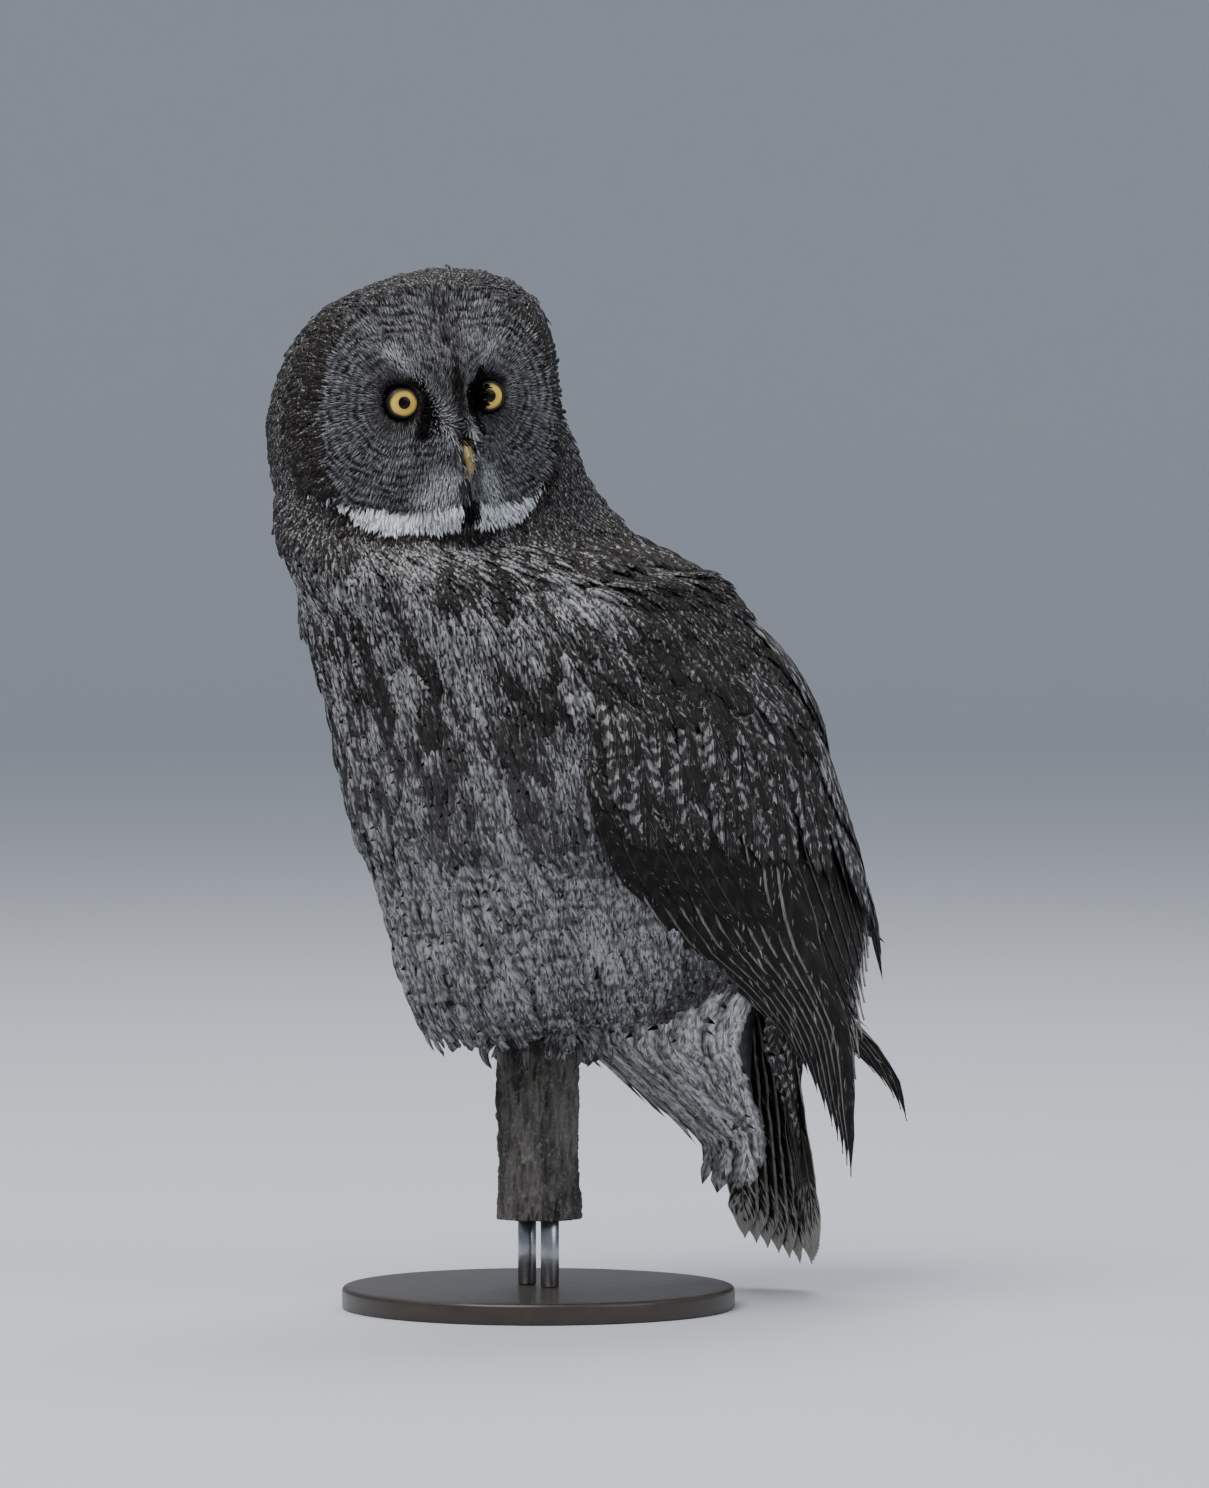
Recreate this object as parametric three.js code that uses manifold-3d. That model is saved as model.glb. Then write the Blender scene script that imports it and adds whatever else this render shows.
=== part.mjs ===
// A great grey owl, life size, gripping the top of a short length of snag on a plain display stand.
// Millimetres, +Z up. The breast faces -Y and the left wing is on the +X side, with the head turned to the
// owl's left. The origin is on the floor, under the middle of the snag.
import * as THREE from "three";
import { mergeVertices } from "three/addons/utils/BufferGeometryUtils.js";
import Module from "manifold-3d";

const wasm = await Module();
wasm.setup();
const { Manifold, Mesh: SolidMesh } = wasm;

// Driving sizes
const GAP = 0.3;
const DEG = Math.PI / 180;
const HEAD = { x: 0, y: -94.5, z: 582, turn: 80, roll: 4 };
const HEAD_OUT = { side: 101, up: 96, down: 100, back: 91, middle: -5, lean: 9, flatter: 10 };
const DISC = { side: 88, up: 83, down: 78, squarer: 0.7, rim: 31, rise: 17, lip: 3.5 };
const BRIDGE = { height: 23, half: 22, top: 44, bottom: -52 };
const CHIN = { height: 11, half: 17, up: -61, deep: 13 };
const EYE = { side: 30, up: 9.5, depth: 34, radius: 12.5, outward: 12, lid: 10.4, lidTube: 2 };
const PERCH = { top: 178, bottom: 58, radius: 27 };
const ROD = { radius: 6, spread: 13 };
const BASE = { radius: 128, height: 14, bevel: 3 };
const FOOT = { side: 14.5, toe: 7.2, top: 185 };
const CLAW = { root: 3.1, length: 20 };
const HOLLOW = { radius: 46, height: 22 };

// The trunk from inside the head down to the belly, as level ovals: height, middle, half width, half depth.
// Its top is set over to the owl's right, behind the turned face.
const TRUNK = [
  { z: 620, x: -14, y: -84, wide: 44, deep: 86 },
  { z: 577, x: -18, y: -72, wide: 55, deep: 105 },
  { z: 538, x: -20, y: -68, wide: 60, deep: 121 },
  { z: 515, x: -20, y: -58, wide: 62, deep: 131 },
  { z: 500, x: -13, y: -52, wide: 68, deep: 138 },
  { z: 488, x: -5, y: -42, wide: 86, deep: 143 },
  { z: 474, x: 0, y: -28, wide: 109, deep: 145 },
  { z: 455, x: 0, y: -14.4, wide: 130, deep: 147 },
  { z: 395, x: 0, y: 19.8, wide: 143, deep: 158 },
  { z: 336, x: 0, y: 35.8, wide: 142, deep: 160 },
  { z: 280, x: 0, y: 50.4, wide: 130, deep: 155 },
  { z: 230, x: 0, y: 51.4, wide: 108, deep: 142 },
  { z: 195, x: 0, y: 38, wide: 82, deep: 115 },
  { z: 182, x: 0, y: 34, wide: 76, deep: 108 },
];
const WING_ROOM = 6;

// The outer face of the two folded wings, as level ovals.
const FOLDED = [
  { z: 505, y: -45, wide: 92, deep: 114 },
  { z: 480, y: -25, wide: 115, deep: 137 },
  { z: 460, y: -10, wide: 131, deep: 149 },
  { z: 395, y: 22, wide: 150, deep: 165 },
  { z: 336, y: 40, wide: 151, deep: 168 },
  { z: 285, y: 65, wide: 143, deep: 163 },
  { z: 239, y: 104, wide: 122, deep: 143 },
  { z: 207, y: 150, wide: 92, deep: 107 },
  { z: 172, y: 184, wide: 74, deep: 82 },
  { z: 114, y: 212, wide: 52, deep: 60 },
  { z: 70, y: 222, wide: 44, deep: 50 },
];
// The front and back edges of a folded wing, as angles round the ovals from the breast.
const WING_EDGES = [
  { z: 478, front: 80, back: 168 },
  { z: 455, front: 71, back: 171 },
  { z: 395, front: 60, back: 172 },
  { z: 324, front: 58, back: 170 },
  { z: 285, front: 63, back: 166 },
  { z: 239, front: 65, back: 158 },
  { z: 207, front: 62, back: 148 },
  { z: 172, front: 68, back: 138 },
  { z: 153, front: 78, back: 130 },
  { z: 114, front: 82, back: 116 },
  { z: 77, front: 86, back: 98 },
];
// The right wing is carried higher, farther back and closer to the middle than the left one.
const WINGS = {
  left: { side: 1, lift: 0, inward: 0, raised: 0 },
  right: { side: -1, lift: 74, inward: 40, raised: 31 },
};

// The tail's plane, from the root to the tip along the owl's middle.
const TAIL = { root: [146, 335], tip: [209, 30] };

// The rump and the coverts under the tail: height, front, rear and half width.
const RUMP = [
  { z: 275, front: 90, rear: 205, wide: 84 },
  { z: 240, front: 70, rear: 220, wide: 82 },
  { z: 200, front: 40, rear: 218, wide: 70 },
  { z: 172, front: 42, rear: 208, wide: 58 },
  { z: 150, front: 78, rear: 201, wide: 50 },
  { z: 128, front: 112, rear: 200, wide: 43 },
  { z: 105, front: 144, rear: 201, wide: 36 },
  { z: 80, front: 168, rear: 203, wide: 28 },
  { z: 62, front: 180, rear: 204, wide: 20 },
];

const SIDES = [["left", 1], ["right", -1]];

const clamp = (x, low = 0, high = 1) => Math.min(high, Math.max(low, x));
const smooth = (from, to, x) => {
  const t = clamp((x - from) / (to - from));
  return t * t * (3 - 2 * t);
};
const bell = (x, width) => Math.exp(-((x / width) ** 2));

// One size at height z, on a smooth curve through stations that run downwards.
function at(stations, z, key) {
  const last = stations.length - 1;
  const below = stations.findIndex((s) => s.z < z);
  const i = clamp(below < 0 ? last : below, 1, last);
  const [a, b, c, d] = [Math.max(i - 2, 0), i - 1, i, Math.min(i + 1, last)].map((k) => stations[k]);
  const span = b.z - c.z;
  const t = clamp((b.z - z) / span);
  const leave = ((c[key] - a[key]) / (a.z - c.z)) * span;
  const arrive = ((d[key] - b[key]) / (b.z - d.z)) * span;
  return (
    b[key] * (1 + 2 * t) * (1 - t) ** 2 + leave * t * (1 - t) ** 2 +
    c[key] * t * t * (3 - 2 * t) + arrive * t * t * (t - 1)
  );
}

// A closed form made from a unit sphere. place says where each vertex goes, from its share of the way from
// pole to pole, its angle round the poles and its point on the sphere.
function formed(around, rings, place) {
  const geometry = new THREE.SphereGeometry(1, around, rings);
  const { position, uv } = geometry.attributes;
  for (let i = 0; i < position.count; i++) {
    const unit = new THREE.Vector3().fromBufferAttribute(position, i);
    const share = clamp(1 - uv.getY(i));
    const pole = share === 0 || share === 1;
    const point = place(share, pole ? 0 : uv.getX(i) * 2 * Math.PI, unit);
    position.setXYZ(i, point.x, point.y, point.z);
  }
  return geometry;
}

function solid(geometry) {
  const bare = new THREE.BufferGeometry().setAttribute("position", geometry.attributes.position.clone());
  if (geometry.index) bare.setIndex(geometry.index.clone());
  const merged = mergeVertices(bare, 1e-3);
  const points = merged.attributes.position.array;
  const order = [];
  for (let i = 0; i < merged.index.count; i += 3) {
    const corners = [0, 1, 2].map((k) => merged.index.getX(i + k));
    if (new Set(corners).size === 3) order.push(corners);
  }
  const made = (faces) => {
    const triVerts = Uint32Array.from(faces.flat());
    return new Manifold(new SolidMesh({ numProp: 3, vertProperties: points, triVerts }));
  };
  const body = made(order);
  return body.volume() > 0 ? body : made(order.map(([a, b, c]) => [b, a, c]));
}

function geometryOf(body) {
  const mesh = body.getMesh();
  const points = new Float32Array(mesh.numVert * 3);
  for (let i = 0; i < mesh.numVert; i++) {
    const from = i * mesh.numProp;
    points.set(mesh.vertProperties.subarray(from, from + 3), i * 3);
  }
  const geometry = new THREE.BufferGeometry();
  geometry.setAttribute("position", new THREE.BufferAttribute(points, 3));
  geometry.setIndex(new THREE.BufferAttribute(Uint32Array.from(mesh.triVerts), 1));
  geometry.computeVertexNormals();
  return geometry;
}

// The largest closed piece of a body.
const larger = (a, b) => (b.volume() > a.volume() ? b : a);
const largest = (body) => body.decompose().reduce(larger);
const joined = (bodies) => largest(Manifold.union(bodies));
const cutFrom = (body, rooms) => largest(rooms.reduce((rest, room) => rest.subtract(room), body));

// A closed round limb along a smooth curve, with its radius at each of the points given.
function limb(points, radii, { grow = 0, around = 8, rings = 8 } = {}) {
  const curve = new THREE.CatmullRomCurve3(points.map((p) => new THREE.Vector3(...p)));
  const across = new THREE.Vector3();
  return formed(around, rings, (share, angle) => {
    const along = 0.5 - 0.5 * Math.cos(Math.PI * share);
    const forward = curve.getTangent(along);
    const centre = curve.getPoint(along).addScaledVector(forward, grow * (2 * along - 1));
    across.set(0, 0, 1).cross(forward);
    if (across.lengthSq() < 1e-4) across.set(1, 0, 0);
    across.normalize();
    const other = forward.clone().cross(across);
    const step = along * (radii.length - 1);
    const k = Math.min(Math.floor(step), radii.length - 2);
    const full = radii[k] + (radii[k + 1] - radii[k]) * (step - k) + grow;
    const radius = full * Math.min(1, Math.sin(Math.PI * share) * 2.2);
    return centre
      .addScaledVector(across, radius * Math.cos(angle))
      .addScaledVector(other, radius * Math.sin(angle));
  });
}

// The trunk: breast, belly, flanks and back in one smooth form, drawn in a little where the wings lie.
function trunkForm(grow = 0) {
  const top = TRUNK[0].z;
  const bottom = TRUNK.at(-1).z;
  const rounded = (depth, radius) => Math.sqrt(1 - (1 - clamp(depth / radius)) ** 2);
  return formed(28, 29, (share, angle) => {
    const height = 0.5 + 0.5 * Math.cos(Math.PI * share);
    const z = bottom - grow + (top - bottom + 2 * grow) * height;
    const close = rounded((top - bottom) * height, 16) * rounded((top - bottom) * (1 - height), 40);
    const fromBreast = Math.abs(Math.atan2(Math.sin(angle), Math.cos(angle)));
    const room = WING_ROOM + 6 * bell(z - 462, 30) + 7 * smooth(340, 290, z);
    const drawn = room * smooth(40, 62, fromBreast / DEG) * smooth(492, 466, z);
    const wide = (at(TRUNK, z, "wide") - drawn + grow) * close;
    const deep = (at(TRUNK, z, "deep") - drawn + grow) * close;
    const x = at(TRUNK, z, "x") + wide * Math.sin(angle);
    return new THREE.Vector3(x, at(TRUNK, z, "y") - deep * Math.cos(angle), z);
  });
}

// The head's own frame: X towards its left, Y forward, Z up.
const headFrame = new THREE.Matrix4()
  .makeTranslation(HEAD.x, HEAD.y, HEAD.z)
  .multiply(new THREE.Matrix4().makeRotationZ((HEAD.turn + 180) * DEG))
  .multiply(new THREE.Matrix4().makeRotationY(HEAD.roll * DEG))
  .multiply(new THREE.Matrix4().makeScale(-1, 1, 1));
const inHead = (side, forward, up) => new THREE.Vector3(side, forward, up).applyMatrix4(headFrame);

// How far the face stands forward of the head's middle, at a place to the side of its midline and above it.
function faceDepth(side, up, reach) {
  const away = Math.abs(side);
  const dome = DISC.rim + DISC.rise * (1 - reach * reach);
  const high = 1 - smooth(20, BRIDGE.top + 30, up) - 0.5 * smooth(BRIDGE.bottom + 14, BRIDGE.bottom - 20, up);
  const half = BRIDGE.half + 0.25 * Math.max(0, up - EYE.up) - 0.12 * Math.max(0, -up);
  const bridge = BRIDGE.height * Math.max(0, high) / (1 + (away / half) ** 8);
  const cheek = 6 * bell(away - 24, 15) * bell(up + 56, 14);
  const chin = CHIN.height * bell(side, CHIN.half) * bell(up - CHIN.up, CHIN.deep);
  const lip = DISC.lip * bell(reach - 0.96, 0.05);
  const full = dome + bridge + cheek + chin + lip;
  const fromEye = Math.hypot(away - EYE.side - 1.5, up - EYE.up);
  const socket = EYE.depth + 7.5 + 0.12 * Math.max(0, fromEye - 12);
  return full + (Math.min(full, socket) - full) * smooth(30, 14, fromEye);
}

function headForm() {
  const faceShare = 0.6;
  return formed(34, 26, (share, angle) => {
    const [across, upward] = [Math.cos(angle), Math.sin(angle)];
    const disc = 2 + DISC.squarer * (0.4 * smooth(0, 0.3, upward) + smooth(0, -0.3, upward));
    const discUp = upward > 0 ? DISC.up : DISC.down;
    const rimSize = (Math.abs(across / DISC.side) ** disc + Math.abs(upward / discUp) ** disc) ** (-1 / disc);
    if (share < faceShare) {
      const reach = share / faceShare;
      const [side, up] = [rimSize * reach * across, rimSize * reach * upward];
      return inHead(side, faceDepth(side, up, reach), up);
    }
    const full = 2.95 + 0.45 * smooth(0, -0.5, upward);
    const outUp = upward > 0 ? HEAD_OUT.up : HEAD_OUT.down;
    const flatter = 2 * HEAD_OUT.flatter * Math.max(0, -across) * Math.max(0, upward);
    const oval = (Math.abs(across) / HEAD_OUT.side) ** full + (Math.abs(upward) / outUp) ** full;
    const outSize = oval ** (-1 / full) - flatter;
    const start = Math.asin(rimSize / outSize);
    const front = (DISC.rim - HEAD_OUT.middle) / Math.cos(start);
    const turn = start + (Math.PI - start) * ((share - faceShare) / (1 - faceShare));
    const forward = HEAD_OUT.middle + (turn < Math.PI / 2 ? front : HEAD_OUT.back) * Math.cos(turn);
    const up = outSize * Math.sin(turn) * upward;
    const lean = HEAD_OUT.lean * smooth(0, 80, up) * smooth(start, Math.PI / 2, turn);
    return inHead(outSize * Math.sin(turn) * across + lean, forward, up);
  });
}

const eyeAxis = (side) => {
  const turn = EYE.outward * DEG * side;
  return [Math.sin(turn), Math.cos(turn)];
};

function eyeForm(side, grow = 0) {
  return formed(14, 10, (share, angle, unit) => {
    const point = unit.clone().multiplyScalar(EYE.radius + grow);
    return inHead(side * EYE.side + point.x, EYE.depth + point.z, EYE.up + point.y);
  });
}

// The rim of the two lids, a ring that hugs the eyeball.
function lidForm(side) {
  const geometry = new THREE.TorusGeometry(EYE.lid, EYE.lidTube, 4, 16);
  const [sin, cos] = eyeAxis(side);
  const { position } = geometry.attributes;
  const forward = Math.sqrt(EYE.radius ** 2 - EYE.lid ** 2) + 0.6;
  for (let i = 0; i < position.count; i++) {
    const [x, y, z] = [position.getX(i), position.getY(i) * 0.94, position.getZ(i) + forward];
    const point = inHead(side * EYE.side + x * cos + z * sin, EYE.depth + z * cos - x * sin, EYE.up + y);
    position.setXYZ(i, point.x, point.y, point.z);
  }
  return geometry;
}

// The bill: a hooked upper half with its nostrils, over a shorter lower one.
function upperBill(grow = 0) {
  const points = [[0, 56, -20], [0, 70, -22], [0, 78, -30], [0, 78, -39], [0, 74, -46]];
  return billPart(points, [8, 7, 5.6, 3.8, 1.2], grow);
}
function lowerBill(grow = 0) {
  const points = [[0, 54, -33], [0, 62, -36], [0, 68, -39.5], [0, 71, -42]];
  return billPart(points, [5, 4.6, 3.4, 1.4], grow);
}
function billPart(points, radii, grow) {
  const curve = new THREE.CatmullRomCurve3(points.map((p) => new THREE.Vector3(...p)));
  return formed(10, 10, (share, angle) => {
    const along = 0.5 - 0.5 * Math.cos(Math.PI * share);
    const centre = curve.getPoint(along);
    const forward = curve.getTangent(along);
    centre.addScaledVector(forward, grow * (2 * along - 1));
    const step = along * (radii.length - 1);
    const k = Math.min(Math.floor(step), radii.length - 2);
    const full = radii[k] + (radii[k + 1] - radii[k]) * (step - k) + grow;
    const radius = full * Math.min(1, Math.sin(Math.PI * share) * 2);
    const over = new THREE.Vector3(0, forward.z, -forward.y);
    centre.addScaledVector(over, -radius * Math.sin(angle));
    return inHead(centre.x + radius * 0.82 * Math.cos(angle), centre.y, centre.z);
  });
}
function nostril(side) {
  return formed(6, 4, (share, angle, unit) =>
    inHead(side * 5.2 + unit.x * 1.6, 75.5 + unit.z * 2.4, -25 + unit.y * 1.3),
  );
}

// A point of a folded wing: a height before the wing is raised, an angle from the breast, a depth outwards.
function wingPoint(wing, z, degrees, out = 0) {
  const angle = degrees * DEG;
  const low = smooth(330, 77, z);
  const x = (at(FOLDED, z, "wide") + out) * Math.sin(angle) - wing.inward * low;
  const y = at(FOLDED, z, "y") - (at(FOLDED, z, "deep") + out) * Math.cos(angle) + wing.lift * low;
  return new THREE.Vector3(wing.side * x, y, z + wing.raised * low);
}

// A flat feather vane with its ends closed. place(share along it, outwards) gives a point on its middle line,
// outwards being millimetres off the sheet it lies on; tilt raises its first edge over its second.
const VANE_STEPS = [0, 0.42, 0.84, 1];
const VANE_WIDTHS = [0.62, 1, 0.84, 0.2];
const VANE_THICK = [1, 1, 0.85, 0.4];
function vane(place, { width, thick, sunk, tilt }) {
  const points = [];
  VANE_STEPS.forEach((share, i) => {
    const out = -sunk * (1 - smooth(0, 0.42, share));
    const centre = place(share, out);
    const along = place(Math.min(share + 0.02, 1), out).sub(place(share - 0.02, out)).normalize();
    const off = place(share, out + 1).sub(centre).normalize();
    const across = along.clone().cross(off).normalize();
    const half = (width / 2) * VANE_WIDTHS[i];
    const depth = (thick / 2) * VANE_THICK[i];
    const corner = (way, height) =>
      points.push(
        centre.clone().addScaledVector(across, way * half).addScaledVector(off, height + tilt * way * half),
      );
    corner(1, depth);
    corner(0, depth * 1.5);
    corner(-1, depth);
    corner(-1, -depth);
    corner(0, -depth * 0.5);
    corner(1, -depth);
  });
  const faces = [[0, 1, 5], [1, 4, 5], [1, 2, 4], [2, 3, 4]];
  const last = (VANE_STEPS.length - 1) * 6;
  faces.push(...faces.map(([a, b, c]) => [last + a, last + c, last + b]));
  for (let ring = 0; ring < last; ring += 6) {
    for (let k = 0; k < 6; k++) {
      const [a, b] = [ring + k, ring + ((k + 1) % 6)];
      faces.push([a, a + 6, b], [b, a + 6, b + 6]);
    }
  }
  const geometry = new THREE.BufferGeometry().setFromPoints(points);
  return solid(geometry.setIndex(faces.flat()));
}

// The rows of a folded wing's feathers, from the deepest out. Each has its number of feathers, the height and
// angle of the first and last one's root and tip, their widths, the depth off the wing's outer face, the bow
// of the row's edge, and how thick and how tilted they lie on each other.
const WING_ROWS = [
  {
    name: "primaries", count: 7, root: [[318, 65], [318, 104]], tip: [[172, 68], [77, 94]],
    width: [26, 28], out: -9, bow: 0.1, thick: 1.2, tilt: 0.15,
  },
  {
    name: "secondaries", count: 5, root: [[335, 100], [345, 156]], tip: [[160, 105], [246, 153]],
    width: [31, 35], out: -6.5, bow: 0.1, thick: 1.5, tilt: 0.1,
  },
  {
    name: "greater coverts", count: 6, root: [[372, 71], [345, 160]], tip: [[302, 68], [254, 156]],
    width: [53, 55], out: -4, bow: -0.1, thick: 2.2, tilt: 0.08,
  },
  {
    name: "median coverts", count: 5, root: [[422, 74], [398, 161]], tip: [[352, 69], [300, 159]],
    width: [64, 66], out: -2, bow: -0.1, thick: 2.2, tilt: 0.08,
  },
  {
    name: "scapulars", count: 5, root: [[464, 82], [456, 163]], tip: [[402, 75], [342, 163]],
    width: [60, 62], out: 0, bow: -0.06, thick: 2.2, tilt: 0.08,
  },
];

const between = ([from, to], share) => from + (to - from) * share;
function wingRow(wing, { count, root, tip, width, out, bow, thick, tilt }) {
  return Array.from({ length: count }, (_, k) => {
    const share = k / (count - 1);
    const bent = share + bow * Math.sin(Math.PI * share);
    const height = [between([root[0][0], root[1][0]], share), between([tip[0][0], tip[1][0]], bent)];
    const angle = [between([root[0][1], root[1][1]], share), between([tip[0][1], tip[1][1]], share)];
    const place = (along, off) =>
      wingPoint(wing, between(height, along), between(angle, along), out + off + 2 * along);
    return vane(place, { width: between(width, share), thick, sunk: 14 + out, tilt: wing.side * tilt });
  });
}

// The wing's own flesh and small feathers, a smooth blade that the rows of vanes are rooted in. Its lower
// edge runs down towards the back, under the coverts.
function wingCore(wing) {
  const [top, low] = [WING_EDGES[0].z, 290];
  return formed(14, 13, (share, angle, unit) => {
    const height = 0.5 + 0.5 * Math.cos(Math.PI * share);
    const level = low + (top - low) * height;
    const ring = Math.sin(Math.PI * share);
    const open = Math.min(1, ring * 3);
    const [away, depth] = ring > 1e-6 ? [unit.x / ring, unit.z / ring] : [0, 0];
    const [front, back] = [at(WING_EDGES, level, "front"), at(WING_EDGES, level, "back")];
    const degrees = (front + back) / 2 + ((back - front) / 2) * away * open;
    const z = level - 0.45 * (degrees - 110) * (1 - height) ** 2;
    return wingPoint(wing, z, degrees, -15 + depth * (depth < 0 ? 11 : 10) * open);
  });
}

// A point on the tail: its share of the way from root to tip, and how far to the side and behind the middle.
function tailPoint(along, side, behind = 0) {
  const [y0, z0] = TAIL.root;
  const [y1, z1] = TAIL.tip;
  const long = Math.hypot(y1 - y0, z1 - z0);
  const [dy, dz] = [(y1 - y0) / long, (z1 - z0) / long];
  const sag = 7 * Math.sin(Math.PI * clamp(along));
  const back = behind + sag - 0.0016 * side * side;
  return new THREE.Vector3(side, y0 + dy * long * along - dz * back, z0 + dz * long * along + dy * back);
}

// The rump with its covert feathers above and below the tail.
function rumpForm(grow = 0) {
  const top = RUMP[0].z;
  const bottom = RUMP.at(-1).z;
  return formed(16, 13, (share, angle) => {
    const height = 0.5 + 0.5 * Math.cos(Math.PI * share);
    const z = bottom - grow + (top - bottom + 2 * grow) * height;
    const close = Math.min(1, 1.5 * Math.sin(Math.PI * share)) ** 0.6;
    const [front, rear] = [at(RUMP, z, "front") - grow, at(RUMP, z, "rear") + grow];
    const wide = (at(RUMP, z, "wide") + grow) * close;
    return new THREE.Vector3(
      wide * Math.sin(angle),
      (front + rear) / 2 - ((rear - front) / 2) * close * Math.cos(angle),
      z,
    );
  });
}

// The closed tail: the middle pair of feathers on top, and each next one farther out and lower.
function tailVanes() {
  return SIDES.flatMap(([, side]) =>
    [0, 1, 2, 3, 4].map((k) => {
      const behind = 5 - 2.7 * k - (side < 0 ? 1.35 : 0);
      const aside = (share) => side * (3 + 2 * k + (3 + 5.8 * k) * share);
      const place = (share, off) => tailPoint(0.35 + (0.65 - 0.014 * k) * share, aside(share), behind + off);
      return vane(place, { width: 28, thick: 1.1, sunk: 0, tilt: 0 });
    }),
  );
}

// The coverts under the tail, in rows that hang from the rump's front face.
const COVERT_ROWS = [
  { count: 4, from: 196, to: 146, spread: 34, width: 27 },
  { count: 3, from: 165, to: 112, spread: 21, width: 25 },
  { count: 2, from: 128, to: 62, spread: 8, width: 20 },
];
function underTail() {
  return COVERT_ROWS.flatMap(({ count, from, to, spread, width }) =>
    Array.from({ length: count }, (_, k) => {
      const x = spread * ((2 * k) / (count - 1) - 1);
      const place = (share, off) => {
        const z = from + (to - from) * share;
        const wide = at(RUMP, z, "wide");
        const [front, rear] = [at(RUMP, z, "front"), at(RUMP, z, "rear")];
        const aside = Math.sqrt(Math.max(0, 1 - (x / wide) ** 2));
        const y = (front + rear) / 2 - ((rear - front) / 2) * aside;
        return new THREE.Vector3(x * (1 - 0.1 * share), y + 1 - 5 * share - off, z);
      };
      return vane(place, { width, thick: 2.4, sunk: 4, tilt: 0 });
    }),
  );
}

function legForm(side, grow = 0) {
  const x = side * FOOT.side;
  const points = [[x * 1.7, 20, 224], [x * 1.4, 12, 210], [x * 1.1, 4, 198], [x, 0, 184]];
  return limb(points, [15, 14, 12, 9], { grow, around: 7, rings: 6 });
}

// The hollow in the belly feathers that the feet and the top of the snag stand in.
function footHollow() {
  const { radius, height } = HOLLOW;
  return formed(16, 8, (share, angle, unit) =>
    new THREE.Vector3(unit.x * radius, unit.z * radius, PERCH.top + unit.y * height),
  );
}

// Each toe runs from the ankle over the snag's rim: two forward, one outward and one back.
const toePath = (side, to) => {
  const x = side * FOOT.side;
  const [toX, toY] = to;
  const reach = Math.hypot(toX, toY);
  const edge = (PERCH.radius + FOOT.toe * 0.9) / reach;
  return [
    [x, toY * 0.05, FOOT.top + 1],
    [(x + toX) / 2, toY * 0.5, FOOT.top + 2],
    [toX * 0.95, toY * 0.95, FOOT.top],
    [toX * edge, toY * edge, FOOT.top - 9],
  ];
};
const TOES = (side) => [
  [side * 6.8, -27],
  [side * 20.5, -22],
  [side * 29, 6],
  [side * 12, 27],
];

function footForm(side, grow = 0) {
  const ball = formed(8, 6, (share, angle, unit) =>
    new THREE.Vector3(side * FOOT.side, 0, FOOT.top + 1).addScaledVector(unit, FOOT.toe + 1.8 + grow),
  );
  const toes = TOES(side).map((to) =>
    solid(limb(toePath(side, to), [7, 6.8, 6.4, 5.4], { grow, around: 6, rings: 6 })),
  );
  return joined([solid(ball), ...toes]);
}

function clawForm(side, to) {
  const [x, y, z] = toePath(side, to).at(-1);
  const out = new THREE.Vector3(x, y, 0).normalize();
  const reach = (down, away) => [x + out.x * away, y + out.y * away, z - down * CLAW.length];
  const points = [reach(-0.05, 0), reach(0.35, 3.6), reach(0.7, 2.6), reach(1, -1.6)];
  return limb(points, [CLAW.root, 2.8, 1.9, 0.5], { around: 6, rings: 6 });
}

// The snag: a length of dead trunk with furrowed sides, cut flat below and broken off above.
function perchForm(grow = 0) {
  return formed(18, 13, (share, angle) => {
    const height = PERCH.top - PERCH.bottom;
    const capped = clamp((share - 0.14) / 0.72);
    const z = PERCH.top - height * capped;
    const close = share < 0.14 ? share / 0.14 : share > 0.86 ? (1 - share) / 0.14 : 1;
    const waves = [[0.9, 5, 0.03], [0.7, 9, -0.05], [0.8, 2, 0.06]];
    const wave = ([deep, times, slope]) => deep * Math.sin(times * angle + slope * z);
    const furrow = waves.reduce((sum, each) => sum + wave(each), 0);
    const radius = (PERCH.radius - 1.5 + 1.6 * capped + furrow + grow) * close;
    const end = grow * (share < 0.5 ? 1 : -1) * (capped === 0 || capped === 1 ? 1 : 0);
    return new THREE.Vector3(radius * Math.sin(angle), -radius * Math.cos(angle), z + end);
  });
}

function baseForm() {
  const { radius, height, bevel } = BASE;
  const side = [[radius - 1, 0], [radius, 1], [radius, height - bevel], [radius - bevel, height]];
  const profile = [[0, 0], ...side, [0, height]].map(([r, z]) => new THREE.Vector2(r, z));
  return new THREE.LatheGeometry(profile, 36).rotateX(Math.PI / 2);
}

function rodForm(x) {
  const [low, high] = [BASE.height + GAP, PERCH.bottom - GAP];
  return new THREE.CylinderGeometry(ROD.radius, ROD.radius, high - low, 20)
    .rotateX(Math.PI / 2)
    .translate(x, 0, (low + high) / 2);
}

const COLOURS = {
  head: ["#6b6a69", 0.95],
  plumage: ["#5c5855", 0.95],
  wing: ["#3b3531", 0.9],
  tail: ["#4a4039", 0.9],
  eye: ["#d9a93a", 0.15],
  bill: ["#b59a4c", 0.45],
  leg: ["#7b7874", 0.95],
  claw: ["#1b1a1a", 0.35],
  bark: ["#4d4944", 0.95],
  rod: ["#8d9093", 0.35],
  base: ["#2b2725", 0.5],
};
const owl = new THREE.Group();
function add(name, colour, body) {
  const [tint, roughness] = COLOURS[colour];
  const metalness = colour === "rod" ? 0.9 : 0;
  const material = new THREE.MeshStandardMaterial({ color: tint, roughness, metalness });
  const mesh = new THREE.Mesh(geometryOf(body), material);
  mesh.name = name;
  owl.add(mesh);
}

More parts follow.
